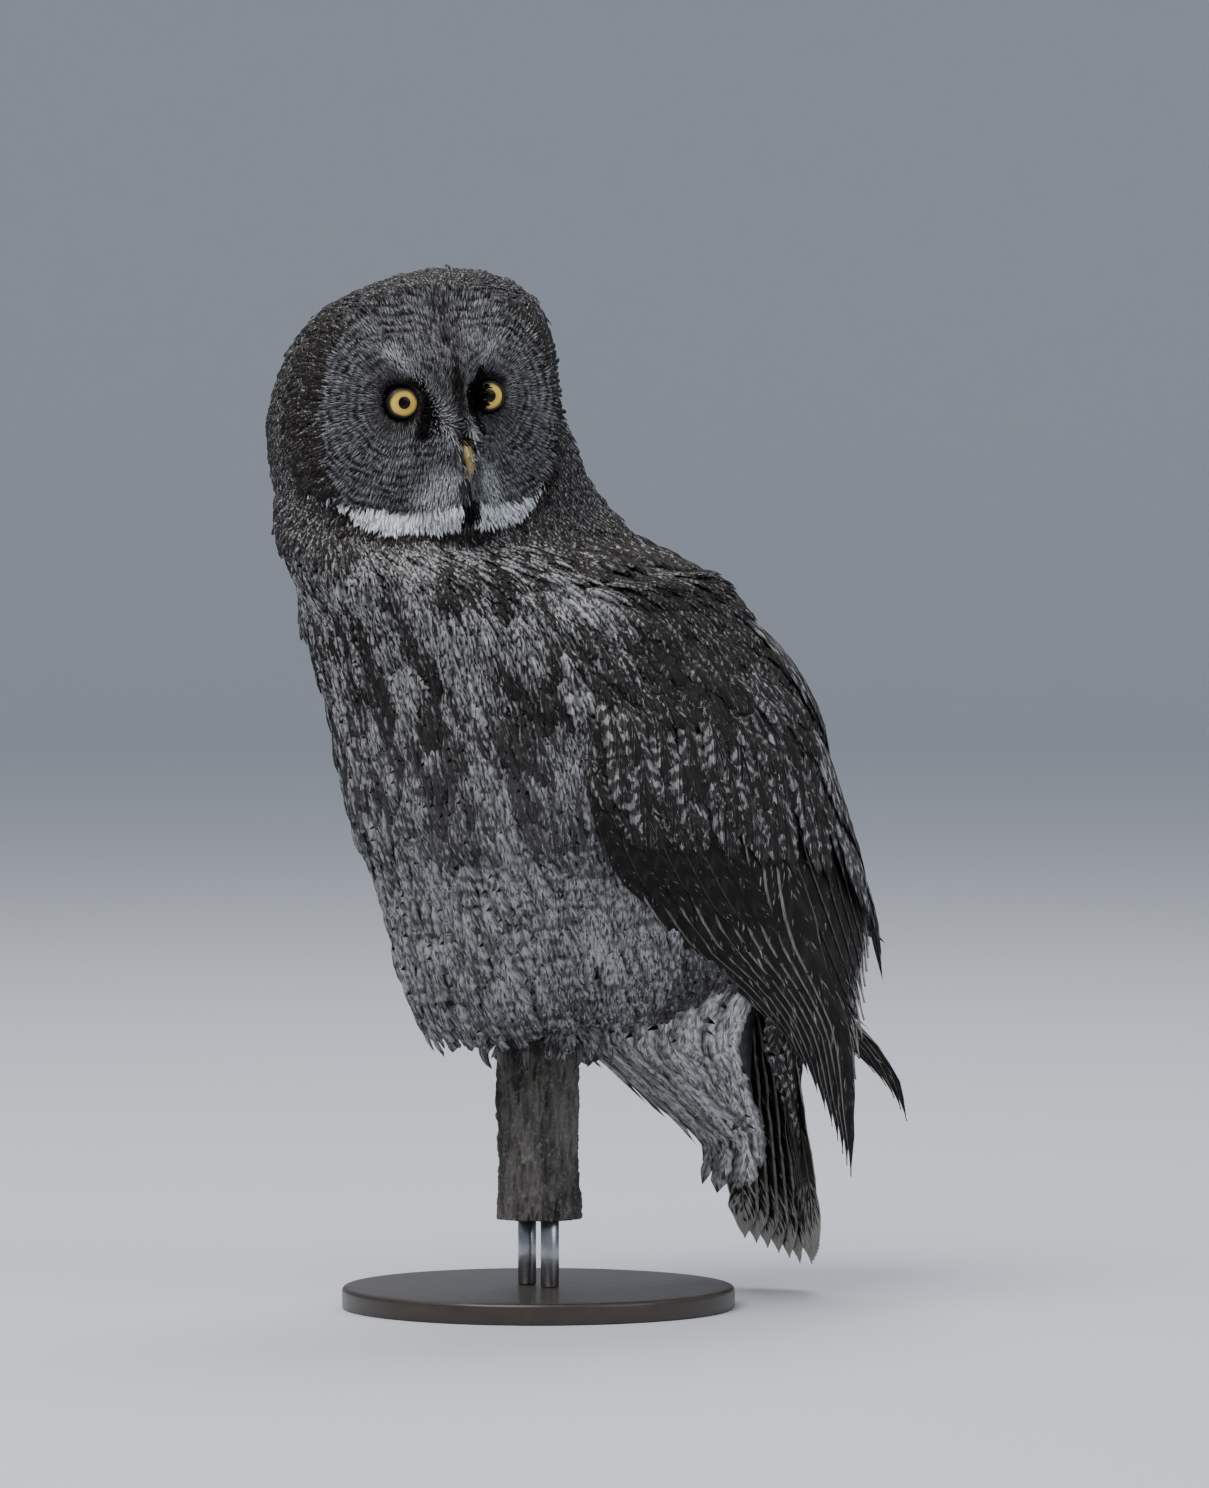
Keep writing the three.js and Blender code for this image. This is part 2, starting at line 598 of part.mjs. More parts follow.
// Splits a body by a thin cut at right angles to a leaning axis, into the pieces above and below.
function parted(body, y, z, lean) {
  return [1, -1].map((way) => {
    const block = new THREE.BoxGeometry(800, 1000, 700).translate(0, 0, way * (350 + GAP / 2));
    return largest(body.intersect(solid(block.rotateX(lean * DEG).translate(0, y, z))));
  });
}

const perchRoom = solid(perchForm(GAP));
const trunkRoom = solid(trunkForm(GAP));
const rumpRoom = solid(rumpForm(GAP));
const footRooms = SIDES.map(([, side]) => footForm(side, GAP));
const legRooms = SIDES.map(([, side]) => solid(legForm(side, GAP)));
const headRooms = [
  ...SIDES.map(([, side]) => solid(eyeForm(side, GAP))),
  solid(upperBill(GAP)),
  solid(lowerBill(GAP)),
];
const lids = SIDES.map(([, side]) => solid(lidForm(side)));

const whole = cutFrom(joined([solid(trunkForm()), solid(headForm()), ...lids]), headRooms);
const [head, belowHead] = parted(whole, -78, 502, 5);
const [neck, torso] = parted(belowHead, -20, 462, 9);
add("head", "head", head);
add("neck", "plumage", neck);
add("torso", "plumage", cutFrom(torso, [...legRooms, solid(footHollow())]));
for (const [name, side] of SIDES) add(`eye_${name}`, "eye", solid(eyeForm(side)));
add("bill_upper", "bill", cutFrom(solid(upperBill()), SIDES.map(([, side]) => solid(nostril(side)))));
add("bill_lower", "bill", cutFrom(solid(lowerBill()), [solid(upperBill(GAP))]));
for (const [name, wing] of Object.entries(WINGS)) {
  const feathers = WING_ROWS.flatMap((row) => wingRow(wing, row));
  add(`wing_${name}`, "wing", cutFrom(joined([solid(wingCore(wing)), ...feathers]), [trunkRoom, rumpRoom]));
}
const tail = joined([solid(rumpForm()), ...tailVanes(), ...underTail()]);
add("tail", "tail", cutFrom(tail, [trunkRoom, ...footRooms, perchRoom]));
SIDES.forEach(([name, side], i) => {
  const otherLeg = i ? [legRooms[0]] : [];
  const otherFoot = i ? [footRooms[0]] : [];
  add(`leg_${name}`, "leg", cutFrom(solid(legForm(side)), [...footRooms, perchRoom, ...otherLeg]));
  add(`foot_${name}`, "leg", cutFrom(footForm(side), [perchRoom, ...otherFoot]));
  TOES(side).forEach((to, k) => {
    add(`claw_${name}_${k + 1}`, "claw", cutFrom(solid(clawForm(side, to)), [...footRooms, perchRoom]));
  });
});
add("perch", "bark", solid(perchForm()));
[1, -1].forEach((side, i) => add(`stand_rod_${i + 1}`, "rod", solid(rodForm(side * ROD.spread))));
add("stand_base", "base", solid(baseForm()));

export default owl;
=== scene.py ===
import math

import bpy
import numpy as np
from mathutils import Matrix, Vector, noise


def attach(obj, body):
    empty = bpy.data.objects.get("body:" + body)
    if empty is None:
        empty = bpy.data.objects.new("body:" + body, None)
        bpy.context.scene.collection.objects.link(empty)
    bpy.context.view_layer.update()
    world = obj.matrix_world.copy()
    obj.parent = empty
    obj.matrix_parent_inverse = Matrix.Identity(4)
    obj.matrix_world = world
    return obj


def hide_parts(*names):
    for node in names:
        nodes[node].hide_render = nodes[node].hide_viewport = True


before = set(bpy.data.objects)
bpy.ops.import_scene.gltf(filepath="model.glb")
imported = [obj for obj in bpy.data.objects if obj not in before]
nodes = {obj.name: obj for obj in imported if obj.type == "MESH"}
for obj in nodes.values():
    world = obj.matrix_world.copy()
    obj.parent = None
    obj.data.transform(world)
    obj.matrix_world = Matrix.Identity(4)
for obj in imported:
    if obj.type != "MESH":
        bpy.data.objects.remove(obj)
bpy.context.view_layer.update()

# The skin.
# Under its feathers the owl is one closed form: head, neck, trunk, wing blades, rump, legs and toes. It is
# made from the flesh of the frame, drawn in by the depth of the coat. Sizes here are in millimetres.
MM = 0.001
COAT_DEPTH = 5.5
FACE_DEPTH = 2.5
SKIN_VOXEL = 3.2
HEAD = np.array([0.0, -94.5, 582.0])
HEAD_AXES = np.array(
    Matrix.Rotation(math.radians(260), 3, "Z")
    @ Matrix.Rotation(math.radians(4), 3, "Y")
    @ Matrix.Diagonal((-1, 1, 1))
)
DISC = {"side": 88.0, "up": 83.0, "down": 78.0, "squarer": 0.7}
EYE = {"side": 30.0, "aside": 1.5, "up": 10.0, "depth": 36.0, "radius": 12.5}


def smooth(start, end, x):
    t = np.clip((x - start) / (end - start), 0, 1)
    return t * t * (3 - 2 * t)


def bell(x, width):
    return np.exp(-((x / width) ** 2))


def unit(vectors):
    return vectors / np.maximum(np.linalg.norm(vectors, axis=-1, keepdims=True), 1e-9)


def in_head(points):
    """Places on the head: millimetres to its left, forward of its middle and above it."""
    return (points - HEAD) @ HEAD_AXES


def head_way(side, forward, up):
    """A direction in the frame from one on the head."""
    local = np.stack(np.broadcast_arrays(side, forward, up), axis=-1).astype(float)
    return local @ HEAD_AXES.T


def from_head(side, forward, up):
    """A place in the frame from one on the head."""
    return head_way(side, forward, up) + HEAD


def disc_reach(local):
    """How far out on the facial disc a place lies, from 0 at its middle to 1 at its rim."""
    side, up = local[:, 0], local[:, 2]
    tall = np.where(up > 0, DISC["up"], DISC["down"])
    upward = up / np.maximum(np.hypot(side, up), 1e-9)
    full = 2 + DISC["squarer"] * (0.4 * smooth(0, 0.3, upward) + smooth(0, -0.3, upward))
    return (np.abs(side / DISC["side"]) ** full + np.abs(up / tall) ** full) ** (1 / full)


def from_eye(local):
    """The distance to the nearer eye, seen from the front."""
    return np.hypot(np.abs(local[:, 0] - EYE["aside"]) - EYE["side"], local[:, 2] - EYE["up"])


def mesh_of(name, points, faces):
    """A mesh in metres from points in millimetres and faces with equal numbers of corners."""
    corners = faces.shape[1]
    mesh = bpy.data.meshes.new(name)
    mesh.vertices.add(len(points))
    mesh.vertices.foreach_set("co", (points * MM).astype(np.float32).ravel())
    mesh.loops.add(faces.size)
    mesh.loops.foreach_set("vertex_index", faces.astype(np.int32).ravel())
    mesh.polygons.add(len(faces))
    mesh.polygons.foreach_set("loop_start", np.arange(0, faces.size, corners, dtype=np.int32))
    mesh.polygons.foreach_set("use_smooth", np.ones(len(faces), bool))
    mesh.update(calc_edges=True)
    mesh.validate()
    return mesh


def shown(name, mesh):
    thing = bpy.data.objects.new(name, mesh)
    bpy.context.scene.collection.objects.link(thing)
    return thing


def read(things, field, width, kind=np.float32):
    """One field of all the points, edges or faces of a mesh, a row for each."""
    values = np.empty(len(things) * width, kind)
    things.foreach_get(field, values)
    return values.reshape(-1, width)


def points_of(mesh):
    return read(mesh.vertices, "co", 3).astype(float) / MM


def normals_of(mesh):
    return read(mesh.vertex_normals, "vector", 3).astype(float)


def faces_of(mesh):
    mesh.calc_loop_triangles()
    return read(mesh.loop_triangles, "vertices", 3, np.int32)


def corners_of(mesh):
    """The number of the point at each corner of each face."""
    return read(mesh.loops, "vertex_index", 1, np.int32)[:, 0]


def joined(meshes):
    """The points and triangles of several meshes together."""
    points, faces, count = [], [], 0
    for mesh in meshes:
        points.append(points_of(mesh))
        faces.append(faces_of(mesh) + count)
        count += len(points[-1])
    return np.vstack(points), np.vstack(faces)


def finished(thing):
    """The object's mesh with its modifiers in it, and the object removed."""
    seen = thing.evaluated_get(bpy.context.evaluated_depsgraph_get())
    mesh = bpy.data.meshes.new_from_object(seen)
    bpy.data.objects.remove(thing)
    return mesh


def remeshed(name, points, faces, voxel):
    """One closed surface round everything given, in even squares."""
    thing = shown(name, mesh_of(name, points, faces))
    remesh = thing.modifiers.new("even", "REMESH")
    remesh.mode = "VOXEL"
    remesh.voxel_size = voxel * MM
    return finished(thing)


def relaxed(points, mesh, steps):
    """Points drawn towards their neighbours on the mesh."""
    a, b = read(mesh.edges, "vertices", 2, np.int32).T
    count = np.bincount(np.r_[a, b], minlength=len(points))[:, None]
    for _ in range(steps):
        total = np.zeros_like(points)
        for axis in range(3):
            total[:, axis] = np.bincount(a, points[b, axis], len(points))
            total[:, axis] += np.bincount(b, points[a, axis], len(points))
        points = 0.5 * points + 0.5 * total / count
    return points


def move_points(mesh, points):
    mesh.vertices.foreach_set("co", (points * MM).astype(np.float32).ravel())
    mesh.update()


def drawn_in(mesh, depth):
    """Moves a mesh's surface inwards by depth, one number for each of its points, and evens it out."""
    points = relaxed(points_of(mesh), mesh, 4)
    move_points(mesh, points)
    move_points(mesh, relaxed(points - normals_of(mesh) * depth[:, None], mesh, 3))
    return mesh


def coat_depth(points):
    """The coat is thin on the face, thinner still round the eyes and bill, and deep everywhere else."""
    local = in_head(points)
    on_face = smooth(1.02, 0.9, disc_reach(local)) * smooth(10, 26, local[:, 1])
    at_bill = bell(np.hypot(local[:, 0], local[:, 2] + 30), 16) * on_face
    at_eye = smooth(24, 13, from_eye(local)) * on_face
    depth = COAT_DEPTH + (FACE_DEPTH - COAT_DEPTH) * on_face
    return depth * (1 - 0.9 * np.maximum(at_eye, at_bill))


body = remeshed("body", *joined([nodes[n].data for n in ("head", "neck", "torso")]), SKIN_VOXEL)
body = drawn_in(body, coat_depth(points_of(body)))


# The wing blades and the rump are shaped by level ovals, as in the frame: height, then sizes at that height.
FOLDED = np.array([
    (505, -45, 92, 114), (480, -25, 115, 137), (460, -10, 131, 149), (395, 22, 150, 165), (336, 40, 151, 168),
    (285, 65, 143, 163), (239, 104, 122, 143), (207, 150, 92, 107), (172, 184, 74, 82), (114, 212, 52, 60),
    (70, 222, 44, 50),
], float)
WING_EDGES = np.array([
    (478, 80, 168), (455, 71, 171), (395, 60, 172), (324, 58, 170), (285, 63, 166), (239, 65, 158),
    (207, 62, 148), (172, 68, 138), (153, 78, 130), (114, 82, 116), (77, 86, 98),
], float)
BLADE_END = 290.0
WINGS = {
    "left": {"side": 1, "lift": 0, "inward": 0, "raised": 0},
    "right": {"side": -1, "lift": 74, "inward": 40, "raised": 31},
}
RUMP = np.array([
    (275, 90, 205, 84), (240, 70, 220, 82), (200, 40, 218, 70), (172, 42, 208, 58), (150, 78, 201, 50),
    (128, 112, 200, 43), (105, 144, 201, 36), (80, 168, 203, 28), (62, 180, 204, 20),
], float)


def at(stations, z):
    """The sizes at height z, on smooth curves through stations that run downwards."""
    z = np.asarray(z, float)
    heights = stations[:, 0]
    i = np.clip(np.searchsorted(-heights, -z, side="left"), 1, len(heights) - 1)
    a, b, c, d = (stations[k] for k in (np.maximum(i - 2, 0), i - 1, i, np.minimum(i + 1, len(heights) - 1)))
    span = b[..., :1] - c[..., :1]
    t = np.clip((b[..., :1] - z[..., None]) / span, 0, 1)
    leave = (c - a) / (a[..., :1] - c[..., :1]) * span
    arrive = (d - b) / (b[..., :1] - d[..., :1]) * span
    sizes = b * (1 + 2 * t) * (1 - t) ** 2 + leave * t * (1 - t) ** 2
    sizes = sizes + c * t * t * (3 - 2 * t) + arrive * t * t * (t - 1)
    return np.moveaxis(sizes[..., 1:], -1, 0)


def wing_point(wing, z, degrees, out=0.0):
    """A place on a folded wing: a height before it is raised, an angle from the breast, a depth outwards."""
    angle = np.radians(degrees)
    low = smooth(330, 77, z)
    y, wide, deep = at(FOLDED, z)
    x = (wide + out) * np.sin(angle) - wing["inward"] * low
    y = y - (deep + out) * np.cos(angle) + wing["lift"] * low
    return np.stack([wing["side"] * x, y, z + wing["raised"] * low], axis=-1)


def outward(points, faces):
    """The faces of a closed form, turned so that they face outwards."""
    a, b, c = points[faces[:, 0]], points[faces[:, 1]], points[faces[:, 2]]
    return faces if np.sum(a * np.cross(b, c)) > 0 else faces[:, ::-1]


def ringed(around, rings):
    """The triangles of a form of rings of points: a fan from its first point, then bands."""
    k = np.arange(around)
    after = (k + 1) % around
    faces = [np.stack([0 * k, 1 + k, 1 + after], axis=1)]
    for ring in range(rings - 1):
        a, b = 1 + ring * around + k, 1 + ring * around + after
        faces += [np.stack([a, a + around, b + around], axis=1), np.stack([a, b + around, b], axis=1)]
    return faces


def globe(around, rings, place):
    """A closed form laid out like a globe: place(share, angle) gives its points, share from pole to pole."""
    share = np.repeat(np.arange(1, rings) / rings, around)
    angle = np.tile(np.arange(around) * 2 * np.pi / around, rings - 1)
    poles = place(np.array([0.0, 1.0]), np.zeros(2))
    points = np.vstack([poles[:1], place(share, angle), poles[1:]])
    low, k = 1 + (rings - 2) * around, np.arange(around)
    last_fan = np.stack([low + k, len(points) - 1 + 0 * k, low + (k + 1) % around], axis=1)
    return points, outward(points, np.vstack([*ringed(around, rings - 1), last_fan]))


def wing_blade(wing):
    """A wing's flesh and the roots of its feathers, from the shoulder down to under the coverts."""
    top, low = WING_EDGES[0, 0], BLADE_END

    def place(share, angle):
        height = 0.5 + 0.5 * np.cos(np.pi * share)
        level = low + (top - low) * height
        ring = np.minimum(1, np.sin(np.pi * share) * 3)
        front, back = at(WING_EDGES, level)
        degrees = (front + back) / 2 + (back - front) / 2 * np.cos(angle) * ring * 0.94
        z = level - 0.45 * (degrees - 110) * (1 - height) ** 2
        return wing_point(wing, z, degrees, -17 + 7 * np.sin(angle) * ring)

    return globe(28, 30, place)


VENT = np.array([
    (275, 90, 212, 84), (240, 66, 200, 80), (215, 50, 182, 68), (200, 42, 172, 62), (172, 43, 168, 54),
    (150, 74, 168, 44), (128, 106, 170, 34), (112, 130, 174, 25), (98, 146, 178, 14),
], float)


def vent():
    """The flesh under the tail's root, out to where the coverts under the tail are rooted."""

    def place(share, angle):
        height = 0.5 + 0.5 * np.cos(np.pi * share)
        z = VENT[-1, 0] + 12 + (VENT[0, 0] - VENT[-1, 0] - 12) * height
        close = np.minimum(1, 1.5 * np.sin(np.pi * share)) ** 0.6
        front, rear, wide = at(VENT, z)
        deep = (rear - front) / 2 - COAT_DEPTH
        y = (front + rear) / 2 - deep * close * np.cos(angle)
        return np.stack([(wide - COAT_DEPTH) * close * np.sin(angle), y, z], axis=-1)

    return globe(28, 24, place)


FEET_VOXEL = FEET_DEPTH = 2.0
feet = joined([nodes[f"{part}_{side}"].data for part in ("leg", "foot") for side in WINGS])
feet = remeshed("feet", *feet, FEET_VOXEL)
feet = drawn_in(feet, np.full(len(feet.vertices), FEET_DEPTH))
blades = [mesh_of("blade", *wing_blade(wing)) for wing in WINGS.values()]
skin_mesh = remeshed("skin", *joined([body, feet, *blades, mesh_of("vent", *vent())]), SKIN_VOXEL)

# The small feathers of head, neck, breast, belly and back.
# Each is a soft closed vane on a short shaft, its barbs split into clumps. They overlap like roof tiles down
# the body. A few shapes of vane are made, and Geometry Nodes plants them over the skin.
# BAKE_PATCH is the side of a feather's square on the OFBake map. MOST_FEATHERS is a limit for a square metre.
BAKE_PATCH = 0.003
MOST_FEATHERS = 3e6


def barbed_vane(clumps, seed, arch=0.35, droop=0.08, thick=0.03, cut=0.45, sweep=0.30):
    """A vane one unit long and one wide, for an object of its own: points, triangles and places on the vane.
    Its barbs lie in clumps that point towards the tip, and are parted by cuts."""
    chance = np.random.default_rng(seed)
    points, vane, faces = [], [], []

    def add(x, y, lift=0.0):
        points.append((x, y, lift + 0.10 * math.sin(math.pi * min(1, y)) - arch * x * x - droop * y * y))
        vane.append((0.5 + x, y))
        return len(points) - 1

    base, tip = add(0, -0.03), add(chance.uniform(-0.05, 0.05), 1.0)
    shaft = np.linspace(0.03, 0.84, clumps + 1)
    over = [add(0, y, thick) for y in shaft]
    under = [add(0, y, -thick) for y in shaft]
    for side in (-1, 1):
        edge = [base]
        for k in range(clumps):
            y = 0.06 + 0.72 * k / clumps
            reach = y + 0.40 / clumps + sweep * chance.uniform(0.6, 1.0)
            wide = 0.5 * math.sin(math.pi * min(0.93, 0.22 + 0.62 * reach)) * chance.uniform(0.82, 1.1)
            notch = wide * (1 - cut * chance.uniform(0.6, 1.2)) if k else wide * 0.6
            edge.append(add(side * notch, y + 0.25 * sweep, -0.01))
            edge.append(add(side * wide, min(0.97, reach), chance.uniform(-0.02, 0.05)))
        for middle, way in ((over, side), (under, -side)):
            inner, outer = middle + [tip], edge + [tip]
            inner_end, outer_end = len(inner) - 1, len(outer) - 1
            i = j = 0
            while i < inner_end or j < outer_end:
                if j == outer_end or (i < inner_end and i / inner_end < j / outer_end):
                    corner = [inner[i], outer[j], inner[i + 1]]
                    i += 1
                else:
                    corner = [inner[i], outer[j], outer[j + 1]]
                    j += 1
                if len(set(corner)) == 3:
                    faces.append(corner if way > 0 else corner[::-1])
    return np.array(points), np.array(faces), np.array(vane)


def with_map(mesh, name, places):
    """Gives a mesh a UV map from one place for each of its points."""
    layer = mesh.uv_layers.new(name=name)
    layer.data.foreach_set("uv", places[corners_of(mesh)].astype(np.float32).ravel())


def vane_shapes(name, clumps, count, **form):
    """A collection of like vanes, each a little different, to plant from."""
    shapes = bpy.data.collections.new(name)
    for seed in range(count):
        points, faces, vane = barbed_vane(clumps, seed, **form)
        mesh = mesh_of(f"{name} {seed}", points / MM, faces)
        with_map(mesh, "vane", vane)
        shapes.objects.link(bpy.data.objects.new(f"{name}_{seed}", mesh))
    return shapes


class Wire:
    """A socket's value in a node tree, so that maths on it is written as an expression."""

    def __init__(self, tree, socket):
        self.tree = tree
        self.socket = socket

    def maths(self, operation, *others):
        return self.tree.add("ShaderNodeMath", {"operation": operation}, dict(enumerate([self, *others])))

    def __add__(self, other):
        return self.maths("ADD", other)

    def __sub__(self, other):
        return self.maths("SUBTRACT", other)

    def __rsub__(self, other):
        return self.tree.add("ShaderNodeMath", {"operation": "SUBTRACT"}, {0: other, 1: self})

    def __mul__(self, other):
        return self.maths("MULTIPLY", other)

    def __truediv__(self, other):
        return self.maths("DIVIDE", other)

    def __rtruediv__(self, other):
        return self.tree.add("ShaderNodeMath", {"operation": "DIVIDE"}, {0: other, 1: self})

    __radd__ = __add__
    __rmul__ = __mul__

    def between(self, low, high):
        """0 below low, 1 above high, and smooth between. low may be the larger."""
        values = {"Value": self, "From Min": low, "From Max": high}
        return self.tree.add("ShaderNodeMapRange", {"interpolation_type": "SMOOTHSTEP"}, values)


class Tree:
    """A node tree, and the ways to add nodes to it."""

    def __init__(self, made):
        self.made = made
        self.made.nodes.clear()

    def add(self, kind, settings=None, values=None, output=0):
        node = self.made.nodes.new(kind)
        for name, value in (settings or {}).items():
            if name == "stops":
                while len(node.color_ramp.elements) < len(value):
                    node.color_ramp.elements.new(0.5)
                for element, (place, colour) in zip(node.color_ramp.elements, value):
                    element.position = place
                    element.color = colour
            else:
                setattr(node, name, value)
        for name, value in (values or {}).items():
            if isinstance(value, Wire):
                self.made.links.new(value.socket, node.inputs[name])
            else:
                node.inputs[name].default_value = value
        return Wire(self, node.outputs[output]) if len(node.outputs) else node

    def mix(self, share, first, second):
        """One colour blended into another."""
        values = {0: share, 6: first, 7: second}
        return self.add("ShaderNodeMix", {"data_type": "RGBA"}, values, output=2)

    def apart(self, vector):
        """The three numbers of a vector or colour."""
        node = self.add("ShaderNodeSeparateXYZ", values={0: vector}).socket.node
        return [Wire(self, node.outputs[k]) for k in range(3)]

    def together(self, x, y, z):
        return self.add("ShaderNodeCombineXYZ", values={0: x, 1: y, 2: z})

    def scaled(self, vector, share):
        return self.add("ShaderNodeVectorMath", {"operation": "SCALE"}, {0: vector, "Scale": share})

    def stretched(self, vector, scale):
        """A vector with each of its three numbers scaled for itself."""
        return self.add("ShaderNodeMapping", values={"Vector": vector, "Scale": scale})

    def noise(self, vector, scale=1.0, detail=2.0, roughness=0.5):
        values = {"Vector": vector, "Scale": scale, "Detail": detail, "Roughness": roughness}
        return self.add("ShaderNodeTexNoise", values=values)

    def place(self):
        """Object coordinates, in metres in the frame."""
        return self.add("ShaderNodeTexCoord", output="Object")

    def attribute(self, name, output="Fac"):
        return self.add("ShaderNodeAttribute", {"attribute_name": name}, output=output)

    def on_vane(self):
        """Places across and along the feather, from 0 to 1."""
        return self.apart(self.add("ShaderNodeUVMap", {"uv_map": "vane"}))[:2]

    def marks(self):
        """The three numbers of the feather's own attribute marks."""
        return self.apart(self.attribute("marks", "Color"))


class Finish(Tree):
    """A material with one surface shader."""

    def __init__(self, name):
        self.material = bpy.data.materials.new(name)
        self.material.use_nodes = True
        super().__init__(self.material.node_tree)

    def surface(self, height=None, bump=0.0, depth=0.001, **sockets):
        values = {name.replace("_", " "): value for name, value in sockets.items()}
        if height is not None:
            raised = {"Height": height, "Strength": bump, "Distance": depth}
            values["Normal"] = self.add("ShaderNodeBump", values=raised)
        shader = self.add("ShaderNodeBsdfPrincipled", values=values)
        self.add("ShaderNodeOutputMaterial", values={"Surface": shader})
        return self.material


def plumage(
    name, dark, middle, light, scale=1.0, slope=0.6, wavy=5.0, fleck=3.0, crisp=0.09, grain=(650, 650, 190),
    below=None,
):
    """The finish of a small feather: a dark streak down its shaft and pale, flecked and barred sides, all
    broken up along hair-fine barbs. The attribute marks gives each feather the width of its streak, its
    paleness and the strength of its bars, and below gives the softer colours of the belly."""
    finish = Finish(name)
    ripple = 0.0
    if below:
        height = finish.apart(finish.place())[2]
        down = height.between(0.42, 0.31)
        dark, middle, light = (finish.mix(down, *pair) for pair in zip((dark, middle, light), below))
        bent = height + finish.noise(finish.place(), 22, 2.0) * 0.022
        broken = finish.noise(finish.place(), 34, 2.0).between(0.42, 0.62)
        ripple = (bent * (2 * math.pi / 0.0105)).maths("SINE").between(-0.2, 0.9) * down * broken
    across, along = finish.on_vane()
    chance = finish.attribute("chance")
    streak, pale, bars = finish.marks()
    aside = (across * 2 - 1).maths("ABSOLUTE")
    sweep = along - aside * slope
    barbs = finish.noise(finish.together(across * 2.6, sweep * 44 * scale, chance * 91), detail=2.0)
    clumps = finish.noise(finish.together(across * fleck, sweep * 12 * scale, chance * 57), detail=2.0)
    soft = finish.noise(finish.together(across * 2.5, along * 3.0, chance * 37), detail=3.0)
    strands = finish.noise(finish.stretched(finish.place(), grain), detail=3.0)
    level = along - aside * 0.12 + (soft - 0.5) * 0.30
    wave = (level * (wavy * 2 * math.pi) + chance * 6).maths("SINE") * 0.5 + 0.5
    speckle = clumps * 0.34 + barbs * 0.24 + strands * 0.42 + (wave - 0.5) * bars * 0.28 - ripple * 0.12
    mottle = speckle.between(0.68 - crisp - 0.26 * pale, 0.68 + crisp - 0.26 * pale)
    side_colour = finish.mix(mottle, middle, light)
    edge = aside + (barbs - 0.5) * 0.5 + (clumps - 0.5) * 0.5 + (strands - 0.5) * 0.9 - (along - 0.5) * 0.25
    shaft = edge.between(streak + 0.10, streak - 0.14)
    colour = finish.mix(shaft * (1 - 0.45 * barbs.between(0.52, 0.68) * bars), side_colour, dark)
    # Painted shade and light along the barbs: the colour is darkened in the gaps between barbs and lightened
    # on them, and darkened a little more on the belly's real bars.
    barb_shade_and_bars = barbs.between(0.30, 0.70) * 0.70 + 0.58 - ripple * 0.12
    return finish.surface(
        Base_Color=finish.scaled(colour, barb_shade_and_bars), Roughness=0.92, Specular_IOR_Level=0.15,
        height=barbs + clumps * 0.6, bump=0.5, depth=0.0006,
    )


def feather_coat():
    """The tree that plants vanes over a skin, each along the skin's lie and as large as it says."""
    tree = Tree(bpy.data.node_groups.new("feather coat", "GeometryNodeTree"))
    sockets = {}
    for name, kind in {
        "Skin": "Geometry", "Shapes": "Collection", "Spacing": "Float", "Width": "Float",
        "Length": "Float", "Disorder": "Float", "Seed": "Int", "Finish": "Material",
    }.items():
        kind = f"NodeSocket{kind}"
        socket = tree.made.interface.new_socket(name, in_out="INPUT", socket_type=kind)
        sockets[name] = socket.identifier
    tree.made.interface.new_socket("Coat", in_out="OUTPUT", socket_type="NodeSocketGeometry")
    given = tree.add("NodeGroupInput").socket.node
    given = {name: Wire(tree, given.outputs[name]) for name in sockets}

    def named(name, kind="FLOAT_VECTOR"):
        return tree.add("GeometryNodeInputNamedAttribute", {"data_type": kind}, {"Name": name})

    def drawn(low, high, seed, kind="FLOAT"):
        """A random number or vector for each feather."""
        first = 2 if kind == "FLOAT" else 0
        values = {first: low, first + 1: high, "Seed": given["Seed"] + seed}
        output = 1 if kind == "FLOAT" else 0
        return tree.add("FunctionNodeRandomValue", {"data_type": kind}, values, output)

    values = {
        "Mesh": given["Skin"], "Distance Min": given["Spacing"], "Density Max": MOST_FEATHERS,
        "Seed": given["Seed"],
    }
    roots = tree.add("GeometryNodeDistributePointsOnFaces", {"distribute_method": "POISSON"}, values)
    normal = Wire(tree, roots.socket.node.outputs["Normal"])
    astray = drawn((-1.0,) * 3, (1.0,) * 3, 1, "FLOAT_VECTOR")
    astray = tree.scaled(astray, given["Disorder"])
    lie = tree.add("ShaderNodeVectorMath", {"operation": "ADD"}, {0: named("lie"), 1: astray})
    settings = {"primary_axis": "Y", "secondary_axis": "Z"}
    facing = tree.add("FunctionNodeAxesToRotation", settings, {"Primary Axis": lie, "Secondary Axis": normal})
    size = named("size", "FLOAT") * drawn(0.82, 1.18, 2)
    wide = size * given["Width"] * drawn(0.85, 1.15, 3)
    long = size * given["Length"]
    shapes = tree.add(
        "GeometryNodeCollectionInfo",
        values={"Collection": given["Shapes"], "Separate Children": True, "Reset Children": True},
    )
    values = {4: 0, 5: 99, "Seed": given["Seed"] + 4}
    pick = tree.add("FunctionNodeRandomValue", {"data_type": "INT"}, values, 2)
    vanes = tree.add(
        "GeometryNodeInstanceOnPoints",
        values={
            "Points": roots, "Instance": shapes, "Pick Instance": True, "Instance Index": pick,
            "Rotation": facing, "Scale": tree.together(wide, long, long),
        },
    )
    values = {"Geometry": vanes, "Name": "chance", "Value": drawn(0.0, 1.0, 5)}
    settings = {"data_type": "FLOAT", "domain": "INSTANCE"}
    vanes = tree.add("GeometryNodeStoreNamedAttribute", settings, values)
    coat = tree.add("GeometryNodeRealizeInstances", values={"Geometry": vanes})
    coat = tree.add("GeometryNodeSetMaterial", values={"Geometry": coat, "Material": given["Finish"]})
    tree.add("NodeGroupOutput", values={"Coat": coat})
    return tree.made, sockets


coat_tree, coat_sockets = feather_coat()


